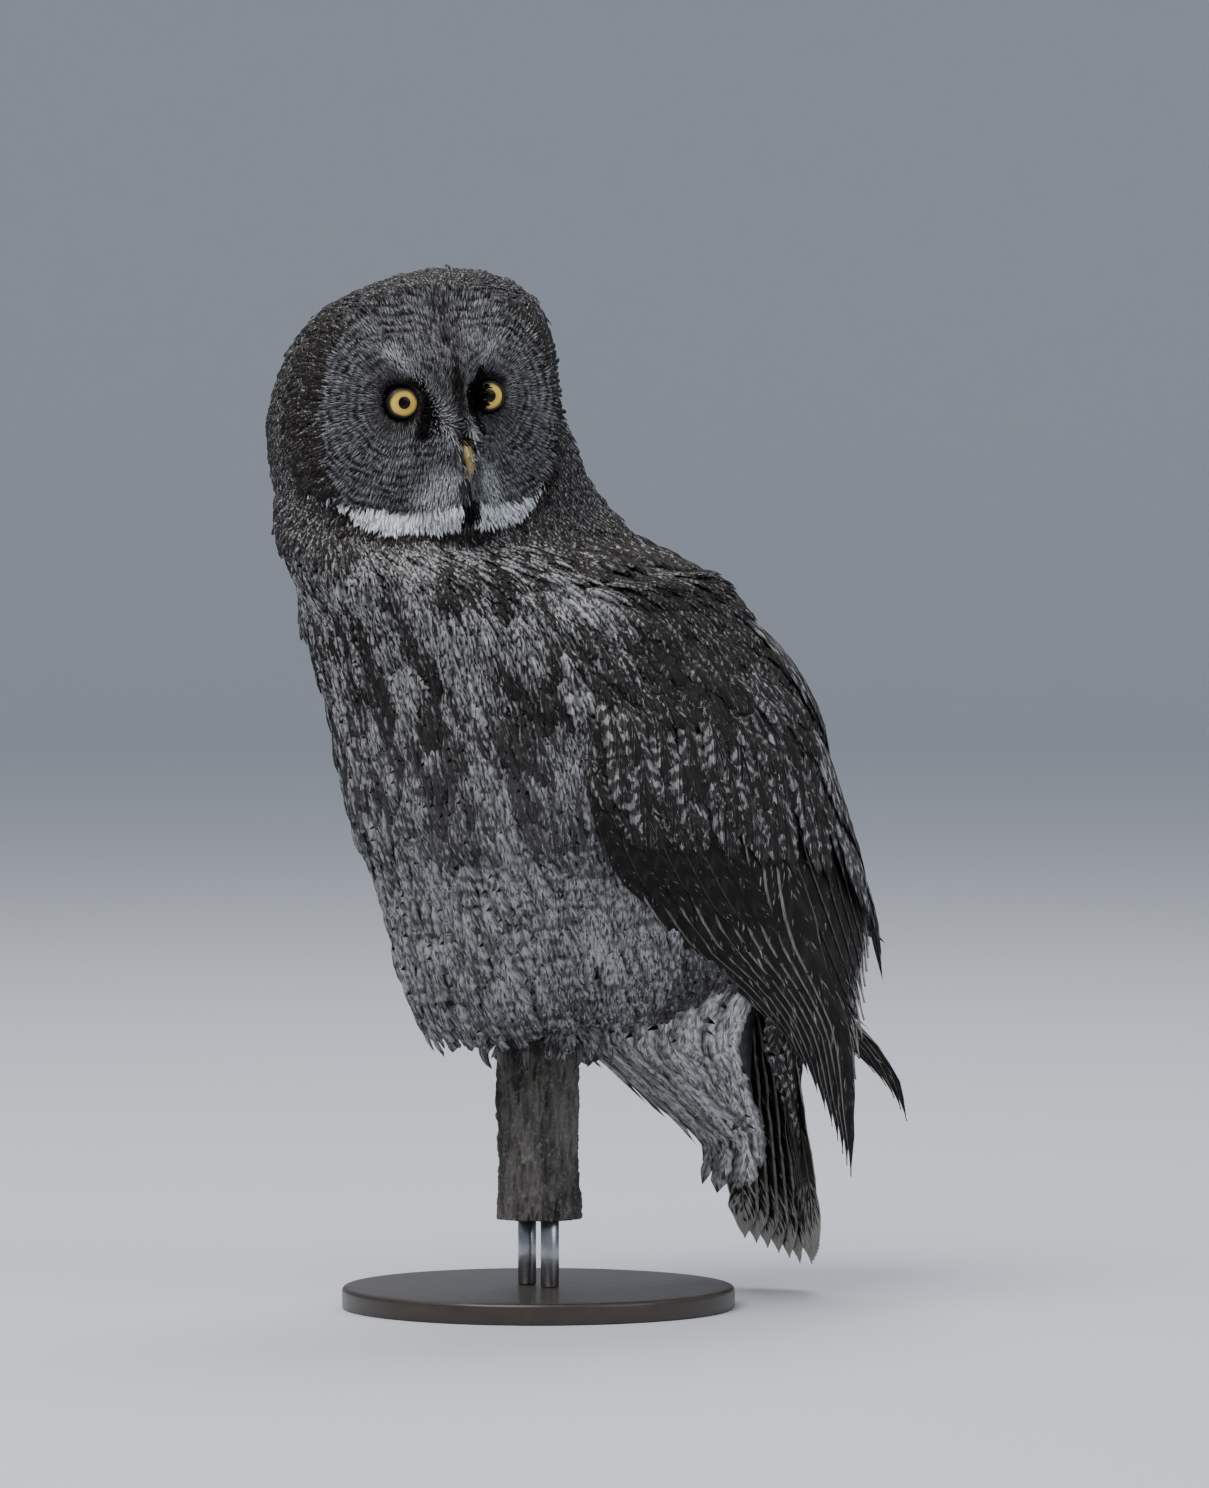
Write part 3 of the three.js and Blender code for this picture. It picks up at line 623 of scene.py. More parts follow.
def marked(mesh, name, kind, values):
    """Stores one value for each point of a mesh."""
    attribute = mesh.attributes.new(name, kind, "POINT")
    field = {"FLOAT": "value", "FLOAT_VECTOR": "vector", "FLOAT_COLOR": "color"}[kind]
    attribute.data.foreach_set(field, np.ascontiguousarray(values, np.float32).ravel())


def patch(mesh, chosen, **attributes):
    """The part of a skin whose points are chosen, with attributes for its feathers to follow."""
    faces = faces_of(mesh)
    faces = faces[chosen[faces].all(axis=1)]
    used, corners = np.unique(faces, return_inverse=True)
    part = mesh_of("patch", points_of(mesh)[used], corners.reshape(-1, 3))
    for name, values in attributes.items():
        kind = "FLOAT" if values.ndim == 1 else "FLOAT_COLOR" if values.shape[1] == 4 else "FLOAT_VECTOR"
        marked(part, name, kind, values[used])
    return part


def owl_piece(name, mesh, slot, *replaced):
    """Shows a finished mesh as a piece of the owl or its stand."""
    piece = shown(name, mesh)
    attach(piece, "root")
    if replaced:
        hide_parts(*replaced)
    return piece


def planted(name, skin, shapes, finish, slot, spacing, width, length, disorder, seed):
    """A coat piece: vanes planted over a skin patch. Its sizes are in millimetres."""
    thing = shown(name, skin)
    coat = thing.modifiers.new("coat", "NODES")
    coat.node_group = coat_tree
    sizes = {"Spacing": spacing * MM, "Width": width * MM, "Length": length * MM, "Disorder": disorder}
    for socket, value in {**sizes, "Shapes": shapes, "Seed": seed, "Finish": finish}.items():
        coat[coat_sockets[socket]] = value
    mesh = finished(thing)
    mesh.name = name
    vane = read(mesh.uv_layers["vane"].data, "uv", 2)
    root = read(mesh.attributes["unwrapped"].data, "vector", 3)
    baked = root[corners_of(mesh), :2] + (vane - 0.5) * BAKE_PATCH
    layer = mesh.uv_layers.new(name="OFBake")
    layer.data.foreach_set("uv", baked.astype(np.float32).ravel())
    for spare in ("lie", "size", "unwrapped"):
        mesh.attributes.remove(mesh.attributes[spare])
    owl_piece(name, mesh, slot)


def unwrapped(points):
    """Places on an unwrap of the body: round its leaning middle line, and up it. The face is apart."""
    local = in_head(points)
    z = points[:, 2]
    middle = np.interp(z, [180, 230, 336, 455, 500, 600], [38, 51, 36, -14, -52, -90])
    around = np.arctan2(points[:, 0], middle - points[:, 1]) / (2 * np.pi) + 0.5
    on_body = np.stack([0.01 + 0.63 * around, 0.01 + 0.98 * z / 700, 0 * z], axis=1)
    on_face = np.stack([0.82 + local[:, 0] / 600, 0.82 + local[:, 2] / 600, 0 * z], axis=1)
    face = (disc_reach(local) < 1) & (local[:, 1] > 20)
    return np.where(face[:, None], on_face, on_body)


def rooted(normals, lie, rise):
    """The direction in which a feather leaves the skin: along the lie, tipped outwards by rise."""
    flat = unit(lie - normals * np.sum(lie * normals, axis=1, keepdims=True))
    rise = np.zeros(len(normals)) + rise
    return flat * np.cos(rise)[:, None] + normals * np.sin(rise)[:, None]


skin_points, skin_normals = points_of(body), normals_of(body)
skin_local = in_head(skin_points)
skin_unwrapped = unwrapped(skin_points)
on_head = smooth(488, 520, skin_points[:, 2])
face_forward = HEAD_AXES[:, 1]
down_body = np.array([0.0, 0.33, -0.94])
down_head = unit(np.array([0.0, 0.1, -1.0]) - 0.75 * face_forward)
body_lie = (1 - on_head)[:, None] * down_body + on_head[:, None] * down_head
is_face = (disc_reach(skin_local) < 0.97) & (skin_local[:, 1] > 16)


def patches(points, size, seed):
    """A smooth random number from 0 to 1 for each place, that changes over size."""
    scaled = points / np.array(size) + seed * 17.3
    return np.array([0.5 + 0.5 * noise.noise(p) for p in scaled])


def trunk_middle(points, *middles):
    """The line up the middle of the trunk at each place, from its places at four heights."""
    return np.interp(points[:, 2], [180, 336, 455, 600], middles)


def round_trunk(points, *middles):
    """Degrees round the trunk's middle line, from the front to the owl's left."""
    return np.degrees(np.arctan2(points[:, 0], trunk_middle(points, *middles) - points[:, 1]))


def marks_of(streak, pale, bars):
    """Three numbers from 0 to 1 for each feather, as the colour in which they are stored."""
    return np.clip(np.stack(np.broadcast_arrays(streak, pale, bars, 1.0), axis=1), 0, 1)


def body_marks(points):
    """Streak, paleness and bars of the body's feathers. The streaks run in broken lines down the breast,
    the belly is paler and barred, and the crown, nape and back are dark with pale flecks."""
    local = in_head(points)
    z = points[:, 2]
    around = round_trunk(points, 38, 36, -14, -90)
    ahead = smooth(108, 78, np.abs(around))
    lines = patches(np.stack([around * 2.2 + 0.10 * z, 0 * z, z], axis=1), (8.5, 1, 30), 1)
    broad = patches(points, (34, 34, 46), 6)
    spots = patches(points, (8, 8, 12), 2)
    low = smooth(375, 290, z)
    dark_line = smooth(0.44, 0.64, lines * 0.60 + spots * 0.20 + broad * 0.20)
    streak = (0.10 + 0.40 * dark_line) * (1 - 0.75 * low)
    pale = 0.84 - (0.52 - 0.22 * low) * dark_line + 0.5 * (spots - 0.5) + 0.3 * (broad - 0.5)
    ripple = np.sin(2 * np.pi * (z / 11 + 1.3 * patches(points, (22, 22, 40), 9) + 0.012 * np.abs(around)))
    pale = pale - 0.22 * low * (0.5 + 0.5 * ripple) * smooth(0.35, 0.6, patches(points, (16, 16, 16), 4))
    right_edge = smooth(-18, -52, around) * smooth(510, 470, z)
    pale = pale + 0.22 * right_edge + 0.16 * low
    bars = 0.35 + 0.25 * low
    patch_of_white = bell(z - 463, 15) * bell(around - 77, 6)
    pale, streak = pale + 1.3 * patch_of_white, streak * (1 - 0.8 * patch_of_white)
    back = 1 - ahead
    on_head = smooth(488, 520, z)
    dark = np.maximum(back, on_head)
    streak = streak * (1 - dark) + dark * (0.40 + 0.5 * (spots - 0.5))
    pale = pale * (1 - dark) + dark * (0.58 + 0.08 * on_head + 1.2 * (spots - 0.5) + 0.5 * (broad - 0.5))
    crown = smooth(45, 80, local[:, 2]) * smooth(30, -20, local[:, 1])
    pale = pale - 0.12 * crown
    bars = bars * (1 - dark) + 0.8 * dark
    return marks_of(streak, pale, bars)


PLUME_DARK = (0.024, 0.019, 0.017, 1)
PLUME_MIDDLE = (0.100, 0.093, 0.092, 1)
PLUME_LIGHT = (0.44, 0.435, 0.44, 1)
BELLY = ((0.056, 0.053, 0.053, 1), (0.150, 0.145, 0.145, 1), (0.36, 0.355, 0.365, 1))
body_finish = plumage("body feathers", PLUME_DARK, PLUME_MIDDLE, PLUME_LIGHT, below=BELLY)

skin_marks = body_marks(skin_points)
beneath_wing = (
    (np.abs(round_trunk(skin_points, 50, 36, -14, -90)) > 84)
    & (np.abs(skin_points[:, 0]) > 26)
    & (skin_points[:, 2] < 452)
    & (skin_points[:, 2] > 258)
)


def skin_piece():
    """The skin in one piece, marked as its feathers are."""
    points = points_of(skin_mesh)
    skin_mesh.materials.append(body_finish)
    marked(skin_mesh, "marks", "FLOAT_COLOR", body_marks(points))
    marked(skin_mesh, "chance", "FLOAT", np.full(len(points), 0.5))
    with_map(skin_mesh, "vane", np.full((len(points), 2), 0.5))
    with_map(skin_mesh, "OFBake", unwrapped(points)[:, :2])
    skin_mesh.name = "skin"
    flesh = ("head", "neck", "torso", "wing", "tail", "leg", "foot")
    owl_piece("skin", skin_mesh, "plumage", *[n for n in nodes if n.split("_")[0] in flesh])


skin_piece()
soft_vanes = vane_shapes("soft vane", clumps=4, count=8)
small_vanes = vane_shapes("small vane", clumps=2, count=5, cut=0.35)


def body_coat(name, chosen, shapes, finish, lie=body_lie, rise=0.15, size=1.0, marks=skin_marks, **sizes):
    """A coat piece on the chosen part of the body. Its feathers are tipped off the skin by rise."""
    count = len(skin_points)
    skin = patch(
        body, chosen, lie=rooted(skin_normals, lie, rise), size=np.broadcast_to(size, count),
        marks=np.broadcast_to(marks, (count, 4)), unwrapped=skin_unwrapped,
    )
    planted(name, skin, shapes, finish, "plumage", **sizes)


# The heights between which each coat is planted. The coats overlap a little where they meet.
TRUNK_TOP, HEAD_LOW, BELLY_TOP, BREAST_LOW = 505, 500, 334, 330
skin_z = skin_points[:, 2]
on_trunk = (skin_z < TRUNK_TOP) & ~is_face & ~beneath_wing
ahead = skin_points[:, 1] < trunk_middle(skin_points, 48, 46, 0, -80)
below = smooth(-0.25, -0.75, skin_normals[:, 2])
body_coat(
    "coat_breast", on_trunk & ahead & (skin_z > BREAST_LOW), soft_vanes, body_finish,
    spacing=3.9, width=9.0, length=33, disorder=0.15, seed=1, size=1 - 0.35 * smooth(440, TRUNK_TOP, skin_z),
)
body_coat(
    "coat_back", on_trunk & ~ahead & (skin_z > BREAST_LOW), soft_vanes, body_finish,
    spacing=5.6, width=12, length=30, disorder=0.16, seed=5, rise=0.12,
    size=1 + 0.35 * bell(skin_z - 490, 20),
)
body_coat(
    "coat_belly", on_trunk & (skin_z <= BELLY_TOP), soft_vanes, body_finish,
    spacing=4.7, width=10.5, length=36, disorder=0.16, seed=2,
    size=(1 + 0.28 * smooth(275, 215, skin_z)) * (1 - 0.5 * below),
)
body_coat(
    "coat_head", (skin_z > HEAD_LOW) & ~is_face, small_vanes, body_finish,
    spacing=2.7, width=7.4, length=17, disorder=0.18, seed=3, rise=0.13,
    size=0.62 + 0.38 * smooth(540, HEAD_LOW, skin_z),
)

# The face.
# The great round disc is set with short stiff feathers that lie outwards from each eye, ringed in greys. Pale
# crescents and black patches stand between the eyes, and a white moustache lies under a dark rim.


def from_line(local, corners, aside=0.0):
    """The distance, from the front, to a line through places at the side of the midline."""
    place = np.stack([np.abs(local[:, 0] - aside), local[:, 2]], axis=1)
    nearest = np.full(len(local), 1e9)
    for start, end in zip(np.array(corners[:-1], float), np.array(corners[1:], float)):
        along = end - start
        share = np.clip((place - start) @ along / (along @ along), 0, 1)
        nearest = np.minimum(nearest, np.linalg.norm(place - start - share[:, None] * along, axis=1))
    return nearest


UP = np.array([0.0, 0.0, 1.0])
BROW = [(38, 45), (27, 32), (17, 20)]
LORE = [(15, 18), (10, 2), (7, -14)]
CHEEK_PATCH = [(16, -37), (22, -50)]
OVER_EYE = [(41, 18), (34, 22), (26, 21)]
BESIDE_EYE = [(24, 20), (18.5, 12), (16.5, 3), (18, -8)]
MOUSTACHE = [(8, -59), (24, -63), (44, -63), (60, -58), (76, -47), (88, -40)]
BEARD_ASIDE = 7.0


def beard_aside(local):
    """How far the chin and the inner moustache are set over to the owl's left."""
    return BEARD_ASIDE * smooth(-40, -58, local[:, 2]) * smooth(75, 25, np.abs(local[:, 0]))


def face_marks(points):
    """Darkness, paleness and strength of the rings on the face's feathers."""
    local = in_head(points)
    side, _, up = local.T
    away, reach, eye = np.abs(side), disc_reach(local), from_eye(local)
    spots = patches(points, (4, 4, 4), 3)
    pale = 0.72 * bell(from_line(local, BROW), 4.5) * smooth(50, 36, up)
    pale = np.maximum(pale, 0.50 * bell(from_line(local, LORE), 4.5))
    pale = np.maximum(pale, 1.0 * bell(from_line(local, CHEEK_PATCH, BEARD_ASIDE), 9))
    pale = np.maximum(pale, 0.03 + 0.7 * (patches(points, (9, 9, 9), 12) - 0.5))
    dark = 1.1 * bell(from_line(local, OVER_EYE), 2.6)
    dark = np.maximum(dark, 1.5 * bell(from_line(local, BESIDE_EYE), 4.0))
    dark = np.maximum(dark, smooth(13.0, 10.8, eye))
    midline = bell(side - 5 * smooth(10, 75, up), 6.5 + 10 * smooth(10, 70, up))
    midline = midline * smooth(-34, -20, up) * smooth(110, 84, up)
    dark = np.maximum(dark, midline * (0.50 + 0.30 * smooth(34, 14, up) + 0.9 * (spots - 0.42)))
    rim = smooth(0.86, 0.90, reach) * smooth(1.10, 1.02, reach)
    dark = np.maximum(dark, rim * (0.55 + 1.3 * (spots - 0.5)))
    dark = np.maximum(dark, 0.9 * bell(np.hypot(side - beard_aside(local), up + 56), 7))
    return marks_of(dark, pale * (1 - 0.6 * dark), smooth(13, 26, eye) * (1 - 0.7 * bell(away, 9)))


def face_feathers(name):
    """The finish of the face: rings of dark and pale grey round each eye, over hair-fine barbs."""
    finish = Finish(name)
    values = {0: finish.place(), 1: tuple(HEAD * MM)}
    place = finish.add("ShaderNodeVectorMath", {"operation": "SUBTRACT"}, values)

    def along(axis):
        values = {0: place, 1: tuple(HEAD_AXES[:, axis] / MM)}
        return finish.add("ShaderNodeVectorMath", {"operation": "DOT_PRODUCT"}, values, output="Value")

    side, up = along(0).maths("ABSOLUTE"), along(2)
    dark, pale, rings = finish.marks()
    chance = finish.attribute("chance")
    across, length = finish.on_vane()
    out = side - EYE["side"]
    high = up - EYE["up"]
    reach = (out * out + high * high).maths("SQRT")
    wobble = finish.noise(finish.together(side * 0.05, up * 0.05, 0.0), detail=3.0)
    broken = finish.noise(finish.together(side * 0.11, up * 0.11, 4.0), detail=2.0).between(0.35, 0.62)
    wave = ((reach + wobble * 14 + chance * 1.8) * (2 * math.pi / 5.6)).maths("SINE")
    ring = (wave * 0.5) * rings * (0.2 + 0.8 * broken) + 0.5
    hairs = finish.noise(finish.together(across * 6, length * 3.5, chance * 71), detail=3.0)
    salt = finish.noise(finish.together(across * 3, length * 12, chance * 43), detail=2.0)
    tone = ring * 0.44 + hairs * 0.58 + salt * 0.90 + (chance - 0.5) * 0.34 - 0.50
    colour = finish.mix(tone.between(0.18, 0.88), (0.014, 0.013, 0.014, 1), (0.27, 0.27, 0.28, 1))
    colour = finish.mix(pale * (0.35 + 1.2 * hairs.between(0.35, 0.65)), colour, (0.55, 0.56, 0.58, 1))
    colour = finish.mix((dark + (hairs - 0.5) * 0.5).between(0.30, 0.85), colour, (0.010, 0.009, 0.009, 1))
    # Painted shade and light along the hairs: the colour is darkened in the gaps between them and lightened
    # on them.
    colour = finish.scaled(colour, hairs.between(0.3, 0.7) * 0.6 + 0.62)
    return finish.surface(
        Base_Color=colour, Roughness=0.95, Specular_IOR_Level=0.1, height=hairs, bump=0.4, depth=0.0005,
    )


def face_lie(local):
    """Outwards from each eye, up over the brow between them, and down beside the bill."""
    side, _, up = local.T
    lie = np.zeros_like(local)
    for eye in (-EYE["side"], EYE["side"]):
        out = np.stack([side - eye, 0 * side, up - EYE["up"]], axis=1)
        lie += out / (np.sum(out * out, axis=1, keepdims=True) + 60)
    lie = unit(lie)
    low = bell(side, 20) * smooth(-10, -24, up)
    high = bell(side, 13) * smooth(-20, -4, up)
    lie += low[:, None] * np.array([0, 0, -1.6]) + high[:, None] * np.array([0, 0, 1.2])
    lie[:, 0] += 0.5 * low * np.sign(side)
    return unit(lie) @ HEAD_AXES.T


face_vanes = vane_shapes("face vane", clumps=1, count=5, arch=0.3, cut=0.2)
face_finish = face_feathers("face feathers")
side, _, up = skin_local.T
away, reach, eye = np.abs(side), disc_reach(skin_local), from_eye(skin_local)
in_eye = eye < 10.6
in_bill = (away < 2.6) & (up < -27) & (up > -46)
front = skin_local[:, 1] > 5
beard = side - beard_aside(skin_local)
moustache = from_line(skin_local, MOUSTACHE, beard_aside(skin_local))
in_white = (moustache < 6.6 - 4.2 * smooth(36, 76, away)) & front
is_rim = (reach >= 0.89) & (reach < 1.055) & (up < 60) & front & ~in_white
chin = bell(np.hypot(beard / 11, (up + 58) / 9), 1)
beside_bill = bell(away - 7, 5) * bell(up + 30, 12)
inner = bell(from_line(skin_local, BESIDE_EYE), 6)
face_size = 0.52 + 0.48 * smooth(12, 40, eye) + 0.35 * chin + 0.35 * inner
face_rise = 0.22 + 0.35 * chin + 0.60 * inner + 0.2 * beside_bill
plain_face = is_face & ~in_eye & ~in_bill & ~is_rim & ~in_white
disc_lie, disc_marks = face_lie(skin_local), face_marks(skin_points)
body_coat(
    "coat_face", plain_face, face_vanes, face_finish, disc_lie, face_rise, face_size, disc_marks,
    spacing=1.15, width=1.5, length=8.0, disorder=0.20, seed=11,
)

# The ruff.
# Round the disc stands a close band of short soft feathers, dark brown with pale flecks. They lean outwards
# like the disc's own, and are planted in the same skin.
ruff_finish = plumage("ruff", (0.024, 0.019, 0.017, 1), (0.068, 0.060, 0.056, 1), (0.37, 0.365, 0.365, 1))
ruff_spots = patches(skin_points, (6, 6, 6), 10)
ruff_marks = marks_of(0.50 - 0.3 * (ruff_spots - 0.5), 0.42 + 1.2 * (ruff_spots - 0.5), 0.4)
body_coat(
    "coat_ruff", is_rim, small_vanes, ruff_finish, disc_lie, rise=0.18, marks=ruff_marks,
    spacing=2.0, width=4.2, length=11, disorder=0.20, seed=12,
)

# The moustache.
# Two white sweeps of soft dense feathers under the disc, parted by the chin. Their outer ends break up into
# white flecks on the ruff.


def white_feathers():
    """The finish of the moustache: white with greyer hairs, and black flecks where its marks are dark."""
    finish = Finish("moustache")
    across, along = finish.on_vane()
    chance = finish.attribute("chance")
    dark, _, _ = finish.marks()
    hairs = finish.noise(finish.together(across * 6, along * 4, chance * 71), detail=3.0)
    colour = finish.mix(hairs.between(0.3, 0.6), (0.62, 0.63, 0.66, 1), (0.88, 0.89, 0.91, 1))
    speck = (dark + (hairs - 0.5) * 0.4 + (chance - 0.5) * 1.1).between(0.52, 0.66)
    colour = finish.mix(speck, colour, (0.020, 0.016, 0.014, 1))
    return finish.surface(
        Base_Color=colour, Roughness=0.9, Specular_IOR_Level=0.2, height=hairs, bump=0.3, depth=0.0004,
    )


from_gap = np.abs(beard)
body_coat(
    "coat_moustache", in_white & (from_gap > 6.5), face_vanes, white_feathers(),
    lie=head_way(0.55 * np.sign(beard) * smooth(8, 40, from_gap), 0.35, -1),
    rise=0.42 + 0.30 * smooth(24, 10, from_gap), size=1 - 0.35 * smooth(40, 70, away),
    marks=marks_of(0.95 * smooth(50, 80, away), 0, 0),
    spacing=1.05, width=2.3, length=11, disorder=0.24, seed=13,
)

# The chin.
# A bib of longer black feathers under the bill, between the two halves of the moustache. They are rooted in
# the skin and stand forward from it.
chin_finish = plumage("chin", (0.006, 0.006, 0.006, 1), (0.012, 0.011, 0.011, 1), (0.05, 0.05, 0.05, 1))
on_chin = (from_gap < 3.5 + 4 * smooth(-51, -59, up)) & (up < -50) & (up > -63) & front
body_coat(
    "coat_chin", on_chin, small_vanes, chin_finish,
    lie=head_way(0.15 + 0.25 * beard / 9, 0.6, -0.9), rise=0.75,
    marks=(0.6, 0.1, 0.3, 1.0), spacing=1.6, width=3.2, length=12, disorder=0.25, seed=14,
)

# The bristles.
# Long fine bristly feathers, rooted between the eyes in the greys of the disc. They reach forward and down
# over the root of the bill.
on_root = (away < 9) & (up > -31) & (up < -8) & front
body_coat(
    "coat_bristles", on_root, face_vanes, face_finish,
    lie=head_way(-0.12 * side / 9, 1.0, -1.15), rise=0.55,
    marks=disc_marks, spacing=1.1, width=1.5, length=17, disorder=0.14, seed=15,
)

# The lores.
# Stiff fine black feathers, rooted in a line at the bill side of each eye. They stand forward, and those of
# the owl's left eye are longer and hide part of it.
on_lore = (from_line(skin_local, BESIDE_EYE, EYE["aside"]) < 4.6) & (eye > 11.8) & front
body_coat(
    "coat_lores", on_lore, small_vanes, chin_finish,
    lie=head_way(0.22 * np.sign(side - EYE["aside"]), 1.0, 0), rise=0.40,
    size=np.where(side > 0, 1, 0.45), marks=(0.6, 0.15, 0.3, 1.0),
    spacing=0.75, width=1.6, length=15, disorder=0.03, seed=16,
)

# The eyes.
# Each eye is a dark ball with a yellow iris round a black pupil, under a clear glossy coat. Its front is a
# little flattened. Black bare lids ring it.
GAZE = {1: -2, -1: -3}
FLAT_FROM = 8.1


def eye_axes(side):
    """The middle of an eye, the way it looks and the way across it, on the head."""
    turn = math.radians(GAZE[side])
    axis = np.array([math.sin(turn), math.cos(turn), 0])
    across = np.array([math.cos(turn), -math.sin(turn), 0])
    return np.array([side * EYE["side"] + EYE["aside"], EYE["depth"], EYE["up"]]), axis, across


def eyeball(side):
    """An eye's points and triangles, and how far each point is from its axis."""
    middle, axis, across = eye_axes(side)

    def place(share, angle):
        tilt = np.pi * share
        ring = np.sin(tilt) * EYE["radius"]
        high = np.cos(tilt) * EYE["radius"]
        high = np.where(high > FLAT_FROM, FLAT_FROM + 0.5 * (high - FLAT_FROM), high)
        local = middle + high[:, None] * axis
        local = local + (ring * np.cos(angle))[:, None] * across + (ring * np.sin(angle))[:, None] * UP
        return from_head(*local.T)

    points, faces = globe(48, 40, place)
    local = in_head(points) - middle
    wide = np.linalg.norm(np.cross(local, axis), axis=1) / EYE["radius"]
    tilt = np.where(local @ axis > 0, np.arcsin(np.minimum(wide, 1)), np.pi / 2)
    return points, faces, tilt


def eye_finish():
    """A yellow iris with fine flecks, a dark edge and a black pupil, all under a clear coat."""
    finish = Finish("eye")
    tilt = finish.attribute("tilt")
    place = finish.noise(finish.place(), scale=420, detail=2.0)
    iris = finish.add("ShaderNodeValToRGB", {"stops": [
        (0.00, (0.62, 0.40, 0.06, 1)), (0.30, (0.80, 0.56, 0.11, 1)), (0.80, (0.80, 0.55, 0.11, 1)),
        (1.00, (0.50, 0.30, 0.05, 1)),
    ]}, {0: (tilt + (place - 0.5) * 0.06).between(0.33, 0.86)}, output="Color")
    colour = finish.mix(tilt.between(0.345, 0.32), iris, (0.001, 0.001, 0.001, 1))
    colour = finish.mix(tilt.between(0.83, 0.87), colour, (0.003, 0.003, 0.003, 1))
    return finish.surface(
        Base_Color=colour, Roughness=0.25, Specular_IOR_Level=0.12, Coat_Weight=0.22, Coat_Roughness=0.03,
    )


def lid_ring(side):
    """The rim of both lids: it hugs the eye, is lower than round and is drawn down at the bill side."""
    middle, axis, across = eye_axes(side)
    round_count, section = 64, 10
    angle = np.repeat(np.arange(round_count) * 2 * np.pi / round_count, section)
    bend = np.tile(np.arange(section) * 2 * np.pi / section, round_count)
    high = np.where(np.sin(angle) > 0, 0.86, 0.88)
    outer = side * np.cos(angle)
    drawn = smooth(-0.15, -0.95, outer) * (2.6 if side > 0 else 0.5)
    ring = 10.4 - 0.5 * drawn + (0.9 + 0.9 * drawn) * np.cos(bend) + 0.12 * np.sin(7 * angle)
    corner = (outer < -0.6) * smooth(-0.6, -1, outer)
    wide = ring * np.cos(angle) * (1 + 0.10 * corner)
    tall = ring * np.sin(angle) * high - 2.0 * corner
    flat = np.minimum(np.hypot(wide, tall), EYE["radius"] - 0.2)
    depth = np.sqrt(EYE["radius"] ** 2 - flat**2) + 0.7 + (1.0 + 0.6 * drawn) * np.sin(bend)
    local = middle + depth[:, None] * axis + wide[:, None] * across + tall[:, None] * UP
    return from_head(*local.T), ring_faces(round_count, section)


def ring_faces(count, section):
    """The squares of a closed ring of closed sections."""
    i, k = np.meshgrid(np.arange(count), np.arange(section), indexing="ij")
    next_i, next_k = (i + 1) % count, (k + 1) % section
    corners = [i * section + k, next_i * section + k, next_i * section + next_k, i * section + next_k]
    return np.stack([c.ravel() for c in corners], axis=1)


def piece_of(name, points, faces, finish, slot, *replaced):
    """A piece of the owl from the points and faces of a closed form."""
    mesh = mesh_of(name, points, outward(points - points.mean(0), faces))
    mesh.materials.append(finish)
    return owl_piece(name, mesh, slot, *replaced)


iris_finish = eye_finish()
lid = Finish("bare lid")
lid_finish = lid.surface(
    Base_Color=(0.008, 0.007, 0.007, 1), Roughness=0.45, height=lid.noise(lid.place(), scale=900, detail=3.0),
    bump=0.4, depth=0.0004,
)
for name, side_sign in (("left", 1), ("right", -1)):
    points, faces, tilt = eyeball(side_sign)
    ball = piece_of(f"eye_{name}_ball", points, faces, iris_finish, "eye", f"eye_{name}")
    marked(ball.data, "tilt", "FLOAT", tilt)
    piece_of(f"lid_{name}", *lid_ring(side_sign), lid_finish, "plumage")

# The bill.
# It is horn: a hooked upper half over a shorter lower one, dull yellow clouded with darker streaks, with a
# nostril on each side near its root.


def curve_through(points, count):
    """Even places along a smooth curve through a few points, and its directions there."""
    points = np.array(points, float)
    before = np.vstack([2 * points[0] - points[1], points, 2 * points[-1] - points[-2]])
    share = np.linspace(0, len(points) - 1, count)
    k = np.minimum(share.astype(int), len(points) - 2)
    t = (share - k)[:, None]
    a, b, c, d = before[k], before[k + 1], before[k + 2], before[k + 3]
    place = 0.5 * (2 * b + (c - a) * t + (2 * a - 5 * b + 4 * c - d) * t**2 + (3 * b - a - 3 * c + d) * t**3)
    along = 0.5 * ((c - a) + 2 * (2 * a - 5 * b + 4 * c - d) * t + 3 * (3 * b - a - 3 * c + d) * t**2)
    return place, unit(along)


